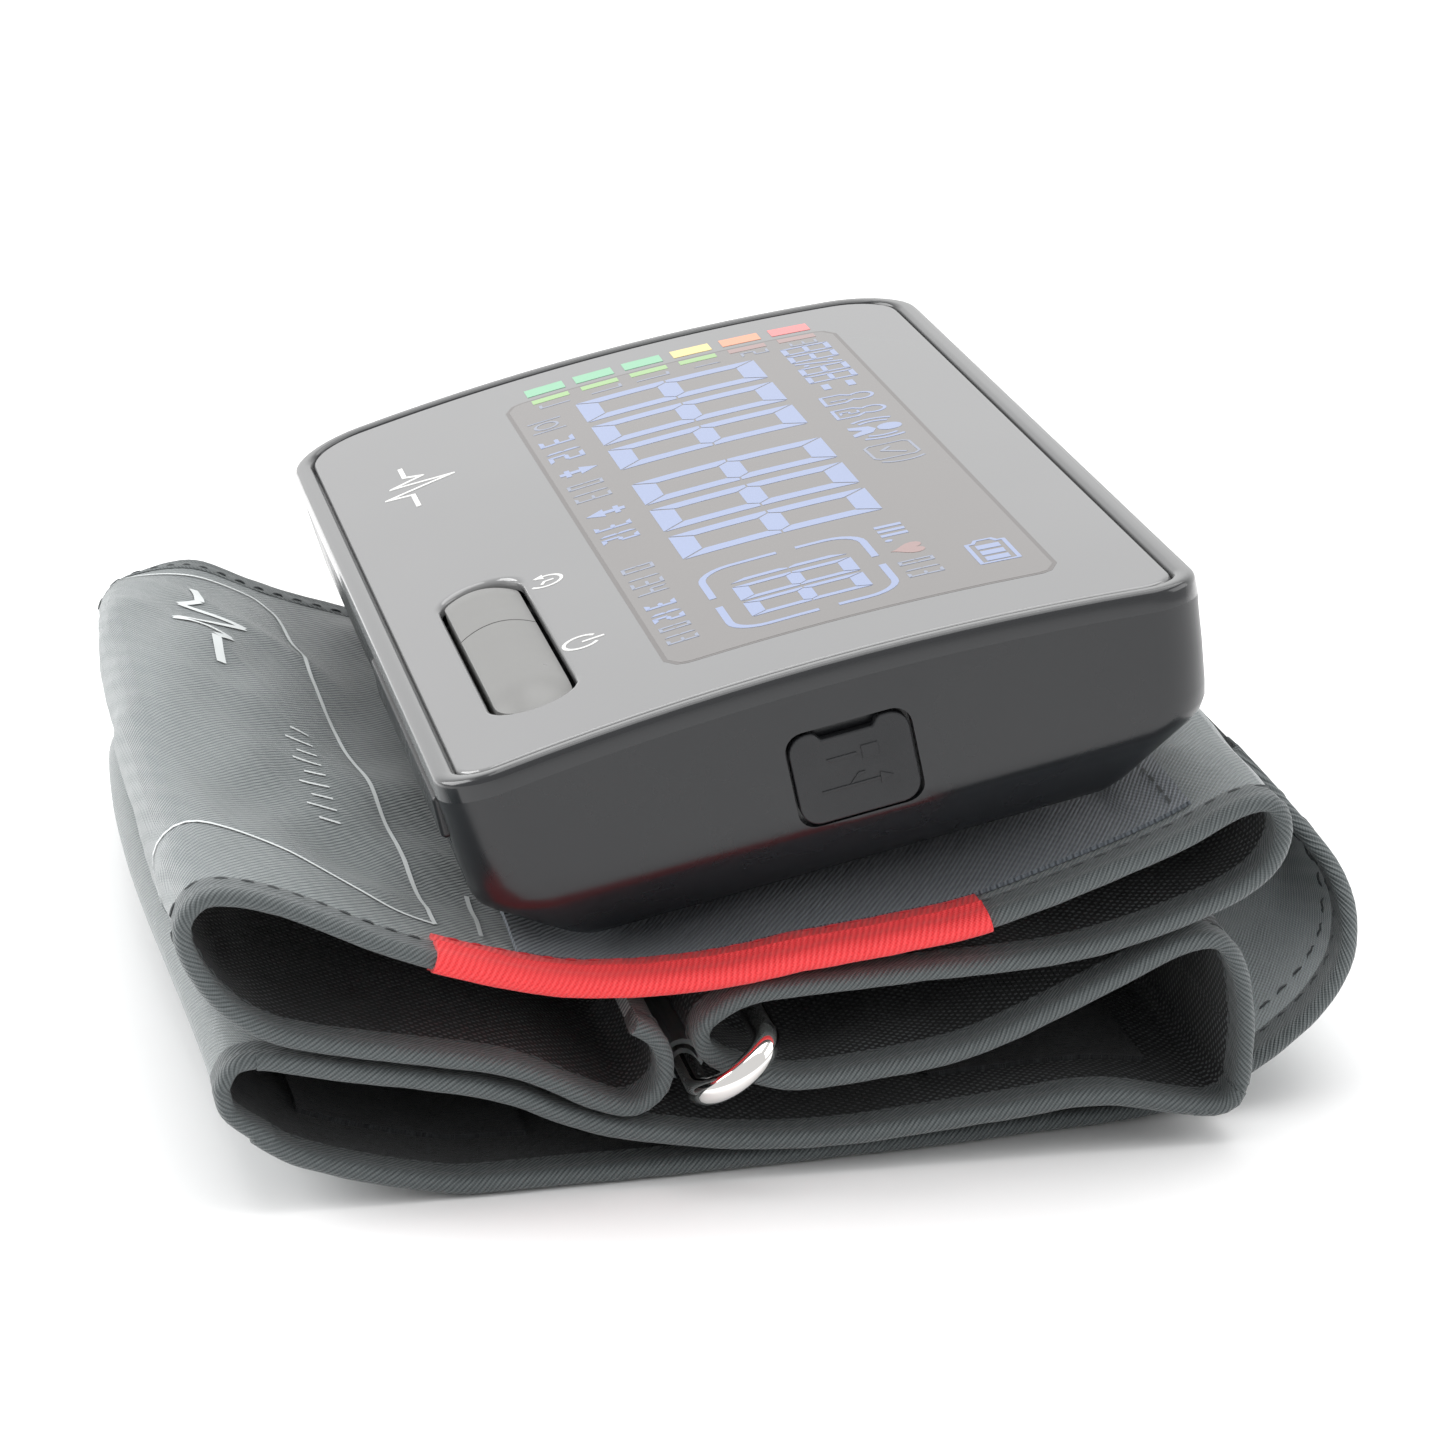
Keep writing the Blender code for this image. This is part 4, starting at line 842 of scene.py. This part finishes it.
def add_print():
    """White marks on the panel: signs for the two keys and a plain pulse line."""
    ink = Drawing("key_signs", "print", 0.05, "panel_acrylic")
    y, memory, power = -13.6, 60.5, 83.0
    ink.ring(memory, y, 1.75, 0.36, -60, 210)
    ink.stroke(((memory, y + 0.9), (memory, y - 0.1), (memory + 0.8, y - 0.5)), 0.36)
    ink.shape(((memory - 1.7, y - 1.1), (memory - 0.9, y), (memory - 2.4, y)))
    ink.ring(power, y, 1.8, 0.4, 125, 415)
    ink.stroke(((power, y + 0.1), (power, y + 2.4)), 0.4)
    ink.done()
    line = Drawing("pulse_line", "print", 0.05, "panel_acrylic")
    line.stroke(((3.0, -21.5), (7.0, -21.5), (8.4, -19.6), (9.8, -23.4), (11.6, -16.4), (13.4, -24.4),
                 (14.6, -21.5), (19.5, -21.5)), 0.55)
    line.done()


# ---- the cuff
def running_lengths(points):
    """The length along a run of points, up to each of them."""
    lengths = [0.0]
    for a, b in zip(points, points[1:]):
        lengths.append(lengths[-1] + (b - a).length)
    return lengths


def smooth_line(points, spacing):
    """A Catmull-Rom curve through 2-D points, resampled to even steps."""
    dense = []
    for i in range(len(points) - 1):
        p1, p2 = Vector(points[i]), Vector(points[i + 1])
        p0 = Vector(points[i - 1]) if i else 2 * p1 - p2
        p3 = Vector(points[i + 2]) if i + 2 < len(points) else 2 * p2 - p1
        for k in range(16):
            t = k / 16
            dense.append((2 * p1 + (p2 - p0) * t + (2 * p0 - 5 * p1 + 4 * p2 - p3) * t * t
                          + (3 * p1 - p0 - 3 * p2 + p3) * t ** 3) / 2)
    dense.append(Vector(points[-1]))
    lengths = running_lengths(dense)
    count = max(2, round(lengths[-1] / spacing))
    line, at = [], 0
    for i in range(count + 1):
        target = lengths[-1] * i / count
        while at < len(dense) - 2 and lengths[at + 1] < target:
            at += 1
        t = (target - lengths[at]) / max(1e-9, lengths[at + 1] - lengths[at])
        line.append(dense[at].lerp(dense[at + 1], min(1.0, max(0.0, t))))
    return line


def directions(line):
    """The unit direction of a line at each of its points."""
    return [(line[min(i + 1, len(line) - 1)] - line[max(i - 1, 0)]).normalized() for i in range(len(line))]


def ease(t):
    t = min(1.0, max(0.0, t))
    return t * t * (3 - 2 * t)


def settle(x, y, z):
    """How the soft strip hangs away from its drawn line at this place: (y, z) in mm."""
    under = 1.8 * math.exp(-((y + 14.0) / 9.5) ** 2) * ease((x - 48.0) / 16.0) * ease((z - 16.5) / 2.0)
    left = ease((-26.0 - y) / 24.0)
    far = max(0.0, (-30.0 - x) / 30.5) ** 2 * left
    above = ease((z - 15.0) / 8.0)
    far *= 1.0 + (ease((-43.0 - y) / 15.0) - 1.0) * above
    depth = max(0.0, (STRIP_FRONT - x) / (STRIP_FRONT - STRIP_REAR)) ** 1.5
    swell = 3.0 * math.sin(math.pi * min(1.0, depth)) * left * (1.0 - above)
    drop = 5.5 * far * min(1.0, max(0.0, (z - 1.0) / 12.0))
    return 2.6 * far * above - swell, under - drop


class Strip:
    """One stretch of the folded strip: its line, normals, arc lengths, edges and free room."""

    def __init__(self, points, others=(), free_end=False, spacing=1.1):
        self.line = smooth_line(points, spacing)
        self.normals = [Vector((-ahead.y, ahead.x)) for ahead in directions(self.line)]
        self.lengths = running_lengths(self.line)
        self.rear = [STRIP_REAR] * len(self.line)
        self.front = [STRIP_FRONT] * len(self.line)
        if free_end:
            total = self.lengths[-1]
            for i, length in enumerate(self.lengths):
                shift = SKEW * (length / total) ** 2.2
                into = max(0.0, length - (total - TIP_RADIUS))
                pull = TIP_RADIUS - math.sqrt(max(0.0, TIP_RADIUS ** 2 - into ** 2))
                self.front[i] = STRIP_FRONT - shift - pull
                self.rear[i] = STRIP_REAR - shift + pull
        self.room = [self.room_at(i, others) for i in range(len(self.line))]

    def room_at(self, i, others):
        """How far the cloth can stray here before it meets another layer."""
        here = self.line[i]
        layers = [point for other in others for point in other[::2]]
        layers += [self.line[j] for j in range(0, len(self.line), 2)
                   if abs(self.lengths[i] - self.lengths[j]) > 10.0]
        nearest = min([6.0] + [(point - here).length for point in layers])
        to_end = min(self.lengths[i], self.lengths[-1] - self.lengths[i])
        return max(0.0, min(1.0, (nearest - 1.9) * 0.35, here.y * 0.25)) * ease((to_end - 4.0) / 8.0)

    def point(self, i, x, offset):
        p = self.line[i] + self.normals[i] * offset
        dy, dz = settle(x, *self.line[i])
        return Vector((x, p.x + dy, p.y + dz))

    def near(self, point):
        target = Vector(point)
        return min(range(len(self.line)), key=lambda i: (self.line[i] - target).length)

    def rows(self, span):
        """The first row of a span and the one after its last."""
        return self.near(span[0]), self.near(span[1]) + 1

    def edge(self, i, side):
        return self.front[i] if side == "front" else self.rear[i]

    def place(self, length):
        """The row before a length along the strip, and how far on the way to the next it lies."""
        final = len(self.line) - 2
        at = min(range(final + 1), key=lambda k: abs(self.lengths[k] - length))
        at = min(max(0, at if self.lengths[at] <= length else at - 1), final)
        return at, self.share(at, length)

    def share(self, at, length):
        return (length - self.lengths[at]) / (self.lengths[at + 1] - self.lengths[at])


def crease(strip, i, x, seed):
    """Soft creases of the cloth, zero at its bound edges."""
    fade = ease((min(strip.front[i] - x, x - strip.rear[i]) - 3.5) / 12.0)
    if fade == 0.0:
        return 0.0
    length = strip.lengths[i]
    broad = noise.noise(Vector((length * 0.045 + seed, x * 0.030, seed)))
    fold = noise.noise(Vector((length * 0.11 + x * 0.035 + seed, x * 0.05, seed * 2)))
    sharp = 0.5 - abs(noise.noise(Vector((length * 0.07 - x * 0.05, x * 0.035 + length * 0.03, seed * 3))))
    return strip.room[i] * fade * (1.5 * broad + 0.8 * fold + 0.9 * sharp)


def cloth_sheet(name, strip, looks, body, seed, half=0.6, rows=None, rear=None, front=None,
                offset=0.0, columns=44, change=None):
    """A closed sheet of cloth along a strip; looks are its upper and lower faces, and from point
    number change on the third and fourth look."""
    first, last = rows or (0, len(strip.line))
    bm = bmesh.new()
    uvs = {}
    sheet = []
    for i in range(first, last):
        x0 = strip.rear[i] + 1.0 if rear is None else rear
        x1 = strip.front[i] - 1.0 if front is None else front
        row = []
        for k in range(columns + 1):
            x = x0 + (x1 - x0) * k / columns
            push = crease(strip, i, x, seed) + offset
            pair = [bm.verts.new(strip.point(i, x, push + side)) for side in (half, -half)]
            for vert in pair:
                uvs[vert] = (strip.lengths[i] * MM, x * MM)
            row.append(pair)
        sheet.append(row)
    for i, (a, b) in enumerate(zip(sheet, sheet[1:]), first):
        for k in range(columns):
            top = bm.faces.new((a[k][0], a[k + 1][0], b[k + 1][0], b[k][0]))
            bottom = bm.faces.new((a[k][1], b[k][1], b[k + 1][1], a[k + 1][1]))
            top.material_index, bottom.material_index = (2, 3) if change and i >= change else (0, 1)
        for k in (0, columns):
            bm.faces.new((a[k][0], b[k][0], b[k][1], a[k][1]))
    for row in (sheet[0], sheet[-1]):
        for a, b in zip(row, row[1:]):
            bm.faces.new((a[0], b[0], b[1], a[1]))
    return add_mesh(name, bm, looks, body, None, 60, uvs)


def edge_tape(name, strip, side, look, body, seed, width=4.3, bulge=0.88, rows=None,
              reach=0.35, ridge=0.0):
    """A tape folded round one edge of the strip: flat inside, full and rounded at the edge."""
    sign = 1 if side == "front" else -1
    flat = bulge - 0.08
    section = [(-width, flat - 0.13), (-width + 0.3, flat), (-width * 0.62, flat + 0.02),
               (-width * 0.5, flat - 0.1 * ridge), (-width * 0.38, flat + ridge), (-1.3, bulge)]
    section += [(-0.7 + (0.7 + reach) * x, bulge * n) for x, n in arc(0, 0, 1.0, 90, -90, 8)]
    section += [(x, -n) for x, n in section[5::-1]]
    around = running_lengths([Vector(point) for point in section])
    first, last = rows or (0, len(strip.line))
    loops = []
    for i in range(first, last):
        length = strip.lengths[i]
        wave = 0.28 * noise.noise(Vector((length * 0.09, seed, 3.0)))
        loop = []
        for k, (dx, n) in enumerate(section):
            pucker = 0.10 * noise.noise(Vector((length * 0.35, k * 0.4, seed)))
            loop.append(strip.point(i, strip.edge(i, side) + sign * (dx + wave), n * (1 + pucker)))
        loops.append(loop)
    bm = bmesh.new()
    uvs = {}
    for i, ring in enumerate(skin(bm, loops), first):
        for k, vert in enumerate(ring):
            uvs[vert] = (strip.lengths[i] * MM, around[k] * MM)
    return add_mesh(name, bm, [look], body, None, 50, uvs)


def stitches(name, strip, body, look, side, inset, offset, first, last):
    """A row of thread stitches that lie on the cloth and dip in at both ends."""
    pitch, radius, sides, steps = 2.4, 0.13, 5, 5
    inwards = -inset if side == "front" else inset
    face = 1 if offset > 0 else -1
    bm = bmesh.new()
    start, end = strip.lengths[first] + 1.0, strip.lengths[last] - 1.0
    at = first
    for s in range(int((end - start) / pitch)):
        loops = []
        for k in range(steps + 1):
            t = k / steps
            length = start + s * pitch + 0.3 + (pitch - 0.75) * t
            while at < last - 1 and strip.lengths[at + 1] < length:
                at += 1
            x = strip.edge(at, side) + inwards
            rise = face * (abs(offset) + 0.05 - 0.28 * (2 * t - 1) ** 4)
            centre = strip.point(at, x, rise).lerp(strip.point(at + 1, x, rise), strip.share(at, length))
            up = Vector((0, *strip.normals[at]))
            thick = radius * (0.55 + 0.45 * math.sin(math.pi * t) ** 0.5)
            turn = [2 * math.pi * q / sides for q in range(sides)]
            loops.append([centre + up * math.sin(w) * thick + Vector((math.cos(w) * thick, 0, 0))
                          for w in turn])
        skin(bm, loops)
    add_mesh(name, bm, [look], body, None, 60)


def ribbon(name, strip, marks, seed, width=0.5, lift=0.75, look="white_ink"):
    """Thin lines that lie on the outer cloth; a mark is a run of (length along the strip, x)."""
    bm = bmesh.new()
    for run in marks:
        dense = smooth_line(run, 1.0)
        pairs = []
        for here, ahead in zip(dense, directions(dense)):
            out = Vector((-ahead.y, ahead.x)) * width / 2
            pair = []
            for length, x in (here + out, here - out):
                at, share = strip.place(length)
                low, high = (strip.point(k, x, crease(strip, k, x, seed) + lift) for k in (at, at + 1))
                pair.append(bm.verts.new(low.lerp(high, share)))
            pairs.append(pair)
        for a, b in zip(pairs, pairs[1:]):
            bm.faces.new((a[0], a[1], b[1], b[0]))
    add_mesh(name, bm, [look], ROOT, None, 60)


def add_prints(main):
    """A plain printed frame, an index line, size ticks and a pulse sign on the cloth by the case."""
    near_line = main.lengths[main.near((-33.0, 23.6))]
    far_line = main.lengths[main.near((-57.9, 28.2))] + 1.5
    rear, front = -52.0, 57.0
    frame_run = [(far_line - 9.0, 40.0), (far_line - 2.0, 44.5), (far_line + 4.0, 46.5),
                 (far_line + 12.0, 49.0), (near_line - 5.0, front - 2.0), (near_line, front)]
    side_run = [(near_line, front), (near_line - 1.5, 20.0), (near_line - 3.0, -10.0),
                (near_line - 4.0, rear + 11.0), (near_line - 5.5, rear + 3.0), (near_line - 9.0, rear),
                (far_line + 5.0, rear), (far_line - 6.0, rear)]
    index_run = [(near_line + 5.0, 45.0), (near_line + 4.6, 57.5)]
    ticks = [[(near_line - 6.5, 3.0 + 3.6 * i), (near_line - 8.8 - 0.9 * (i % 2), 3.0 + 3.6 * i)]
             for i in range(9)]
    ribbon("cuff_print_frame", main, [frame_run, side_run, index_run] + ticks, MAIN_SEED)
    beats = ((0.0, -44.0), (0.0, -37.0), (-2.5, -34.5), (4.5, -30.0), (-4.0, -25.5), (2.0, -22.5),
             (0.0, -20.5), (0.0, -12.0))
    beats = [(far_line + 12.0 + length, x) for length, x in beats]
    ribbon("cuff_print_pulse", main, list(zip(beats, beats[1:])), MAIN_SEED, 1.1)


def add_hinge_cloth(name, points, seed, looks):
    """Cloth and edge tapes that bend across a fold of the strip."""
    strip = Strip(points, spacing=0.45)
    strip.room = [0.0] * len(strip.line)
    pieces = [cloth_sheet(name + "_cloth", strip, looks, None, seed, 0.55, columns=24)]
    for side in ("front", "rear"):
        pieces.append(edge_tape(f"{name}_{side}_tape", strip, side, "binding", None, seed, 4.1, 0.8))
    for piece in pieces:
        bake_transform(piece)


def add_cuff():
    """The folded strip: its three sheets and their bindings, then what is sewn on or lies inside."""
    lines = [smooth_line(points, 1.5) for points in (MAIN_LINE, FOLD_LINE, END_LINE)]
    main = Strip(MAIN_LINE, lines[1:2])
    fold = Strip(FOLD_LINE, lines[::2])
    end = Strip(END_LINE, lines[1:2], True)
    for i in range(main.near(UNDER_CASE_SPAN[0]), main.near(UNDER_CASE_SPAN[1])):
        main.room[i] = 0.0
    # past the tab row the end's upper face takes the tab look: nylon painted lighter against the shade there
    tab = end.near((49.0, 4.4))
    for prefix, strip, body, rows, sheet, seeds, looks, change, nodes in (
            ("main", main, ROOT, (0, len(main.line)), "arm_loop", (MAIN_SEED, 1.0),
             ["nylon", "mesh", "mesh", "mesh"], main.near((43.0, 25.2)), ("main_outer_cloth", "main_lining")),
            ("fold", fold, "fold_panel", (0, len(fold.line) - FOLD_TRIM), "folded_strip", (FOLD_SEED, 4.0),
             ["pile", "mesh", "pile", "nylon"], fold.near((-26.0, 9.0)), ("fold_outer_cloth", "fold_lining")),
            ("end", end, "end_panel", (END_TRIM, len(end.line)), "free_end", (END_SEED, 7.0),
             ["pile", "nylon", "tab", "nylon"], tab, ("end_pile", "end_cloth"))):
        cloth = cloth_sheet(sheet, strip, looks, body, seeds[0], rows=rows, change=change)
        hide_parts(*nodes)
        for side in ("front", "rear"):
            tape = edge_tape(f"{prefix}_{side}_tape", strip, side, "binding", body, seeds[1], rows=rows)
            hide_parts(f"{prefix}_{side}_binding")
            for face, offset in (("upper", 0.85), ("lower", -0.85)):
                stitches(f"{prefix}_{side}_{face}_stitches", strip, body, "thread", side, 3.5, offset,
                         rows[0], rows[1] - 1)
    stitches("tab_hem_stitches", end, "end_panel", "thread", "front", 8.0, 0.65, tab, len(end.line) - 1)

    add_prints(main)
    add_hinge_cloth("first_fold", FIRST_FOLD, 9.0,
                    ["nylon", "mesh"])
    add_hinge_cloth("second_fold", SECOND_FOLD, 9.5,
                    ["pile", "nylon"])

    rows = main.rows(MARKER_SPAN)
    tape = edge_tape("marker_tape", main, "front", "tape", ROOT, 2.0, 5.6, 1.2, rows, 0.9, 0.45)
    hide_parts("artery_marker_tape")
    stitches("marker_stitches", main, ROOT, "red_thread", "front", 4.9, 1.12, rows[0], rows[1] - 1)
    # each with its half thickness, its margins at the rear and front, and its offset from the line
    for name, node, look, slot, strip, body, seed, span, half, rear, front, offset in (
            ("case_patch", "mount_patch", "patch", "patch_blue", main, ROOT, 1.0,
             PATCH_SPAN, 0.2, 3.0, 5.5, 0.95),
            ("bladder", "air_bladder", "film", "bladder_film", main, ROOT, MAIN_SEED,
             BLADDER_SPAN, 0.25, 9.0, 9.0, 0.0),
            ("loop_fastener", "loop_patch", "pile", "pile_black", fold, "fold_panel", FOLD_SEED,
             LOOP_PATCH_SPAN, 0.3, 10.0, 11.0, -0.75),
            ("hook_fastener", "hook_patch", "pile", "pile_black", end, "end_panel", END_SEED,
             HOOK_PATCH_SPAN, 0.3, 10.0, 11.0, 0.75)):
        sheet = cloth_sheet(name, strip, [look, look], body, seed, half, strip.rows(span),
                            STRIP_REAR + rear, STRIP_FRONT - front, offset)
        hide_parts(node)
    seam = main.lengths[main.near(PATCH_SPAN[1])] - 1.6
    runs = [[(seam, x), (seam, x - 1.7)] for x in (STRIP_FRONT - 7.0 - 2.6 * i for i in range(45))]
    ribbon("patch_seam", main, runs, 1.0, 0.3, 1.26, "thread")


def add_d_ring():
    """The polished wire ring, bent to a long loop round both layers of strap."""
    low, sides = D_RING_LOWER, 20
    along = (D_RING_UPPER - low).normalized()
    bend = (D_RING_UPPER - low).length / 2
    path = [Vector(p) for p in (arc(D_RING_X[1] - bend, bend, bend, -90, 90, 24)
                                + arc(D_RING_X[0] + bend, bend, bend, 90, 270, 24))]
    loops = []
    for i, here in enumerate(path):
        ahead = (path[(i + 1) % len(path)] - path[i - 1]).normalized()
        out = Vector((ahead.y, -ahead.x))
        loop = []
        for k in range(sides):
            a = 2 * math.pi * k / sides
            x, reach = here + out * D_RING_WIRE * math.cos(a)
            rise = D_RING_WIRE * math.sin(a)
            y, z = low + along * reach + Vector((-along.y, along.x)) * rise
            loop.append((x, y, z))
        loops.append(loop)
    ring = add_mesh("wire_ring", loft(loops, True), ["chrome"], "d_ring", None, 0)
    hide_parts("d_ring")


# ---- finishes of the CAD pieces that stay
def paint_cad():
    slots = {entry["node"]: entry["material_slot"] for entry in frame["record"]["subparts"]}
    for name, item in frame["nodes"].items():
        if not item.hide_render:
            item.data.materials.clear()
            item.data.materials.append(MATERIALS[CAD_LOOKS.get(slots[name], slots[name])])


# ---- studio
def add_area(name, place, target, size, power):
    lamp = bpy.data.lights.new(name, "AREA")
    lamp.shape = "RECTANGLE"
    lamp.size, lamp.size_y = size
    lamp.energy = power
    item = bpy.data.objects.new(name, lamp)
    item.location = place
    item.rotation_euler = (Vector(target) - Vector(place)).to_track_quat("-Z", "Y").to_euler()
    bpy.context.scene.collection.objects.link(item)


def add_studio():
    """A pale floor in a white room, lit softly from above and from two sides."""
    bm = bmesh.new()
    bmesh.ops.create_grid(bm, x_segments=1, y_segments=1, size=6000.0)
    look = Shader("studio_floor", (0.93, 0.93, 0.93), 0.9)
    cloud = look.noise(look.coords(), 3.0)
    look.set("Base Color", look.mix(cloud, (0.92, 0.92, 0.92), (0.94, 0.94, 0.94)))
    MATERIALS["floor"] = look.material
    add_mesh("floor", bm, ["floor"], None, Matrix.Translation((0, 0, -0.3)))
    world = bpy.data.worlds.new("studio")
    bpy.context.scene.world = world
    world.use_nodes = True
    back = world.node_tree.nodes["Background"]
    back.inputs["Color"].default_value = (1.0, 1.0, 1.0, 1.0)
    back.inputs["Strength"].default_value = 0.82
    add_area("overhead", (-0.25, 0.1, 1.1), (0, 0, 0.03), (1.2, 1.2), 10.5)
    add_area("left_window", (-0.5, -1.1, 0.7), (0, 0, 0.03), (0.9, 0.9), 13.5)
    add_area("right_window", (0.2, 1.1, 0.6), (0, 0, 0.02), (0.9, 0.7), 4.0)
    bpy.context.scene.view_settings.view_transform = "Standard"
    bpy.context.scene.view_settings.look = "None"


def add_camera():
    """Low three-quarter view from the side of the charging port."""
    camera = bpy.data.cameras.new("camera")
    camera.lens = 124.6
    camera.sensor_width = 36.0
    camera.clip_end = 20.0
    item = bpy.data.objects.new("camera", camera)
    right = Vector((0.1908, 0.9816, 0.0)).normalized()
    back = Vector((0.9368, -0.1820, 0.2988)).normalized()
    up = back.cross(right).normalized()
    turn = Matrix((up.cross(back), up, back)).transposed().to_4x4()
    item.matrix_world = Matrix.Translation((0.5047, -0.0920, 0.1857)) @ turn
    bpy.context.scene.collection.objects.link(item)
    bpy.context.scene.camera = item


add_housing()
add_rim()
add_panel()
add_linings()
add_keys()
add_port_cover()
add_window()
add_large_digits()
add_top_row()
add_pulse()
add_battery()
add_labels()
add_heart()
add_scale_numbers()
add_colour_bars()
add_print()
add_cuff()
add_d_ring()
paint_cad()
add_studio()
add_camera()
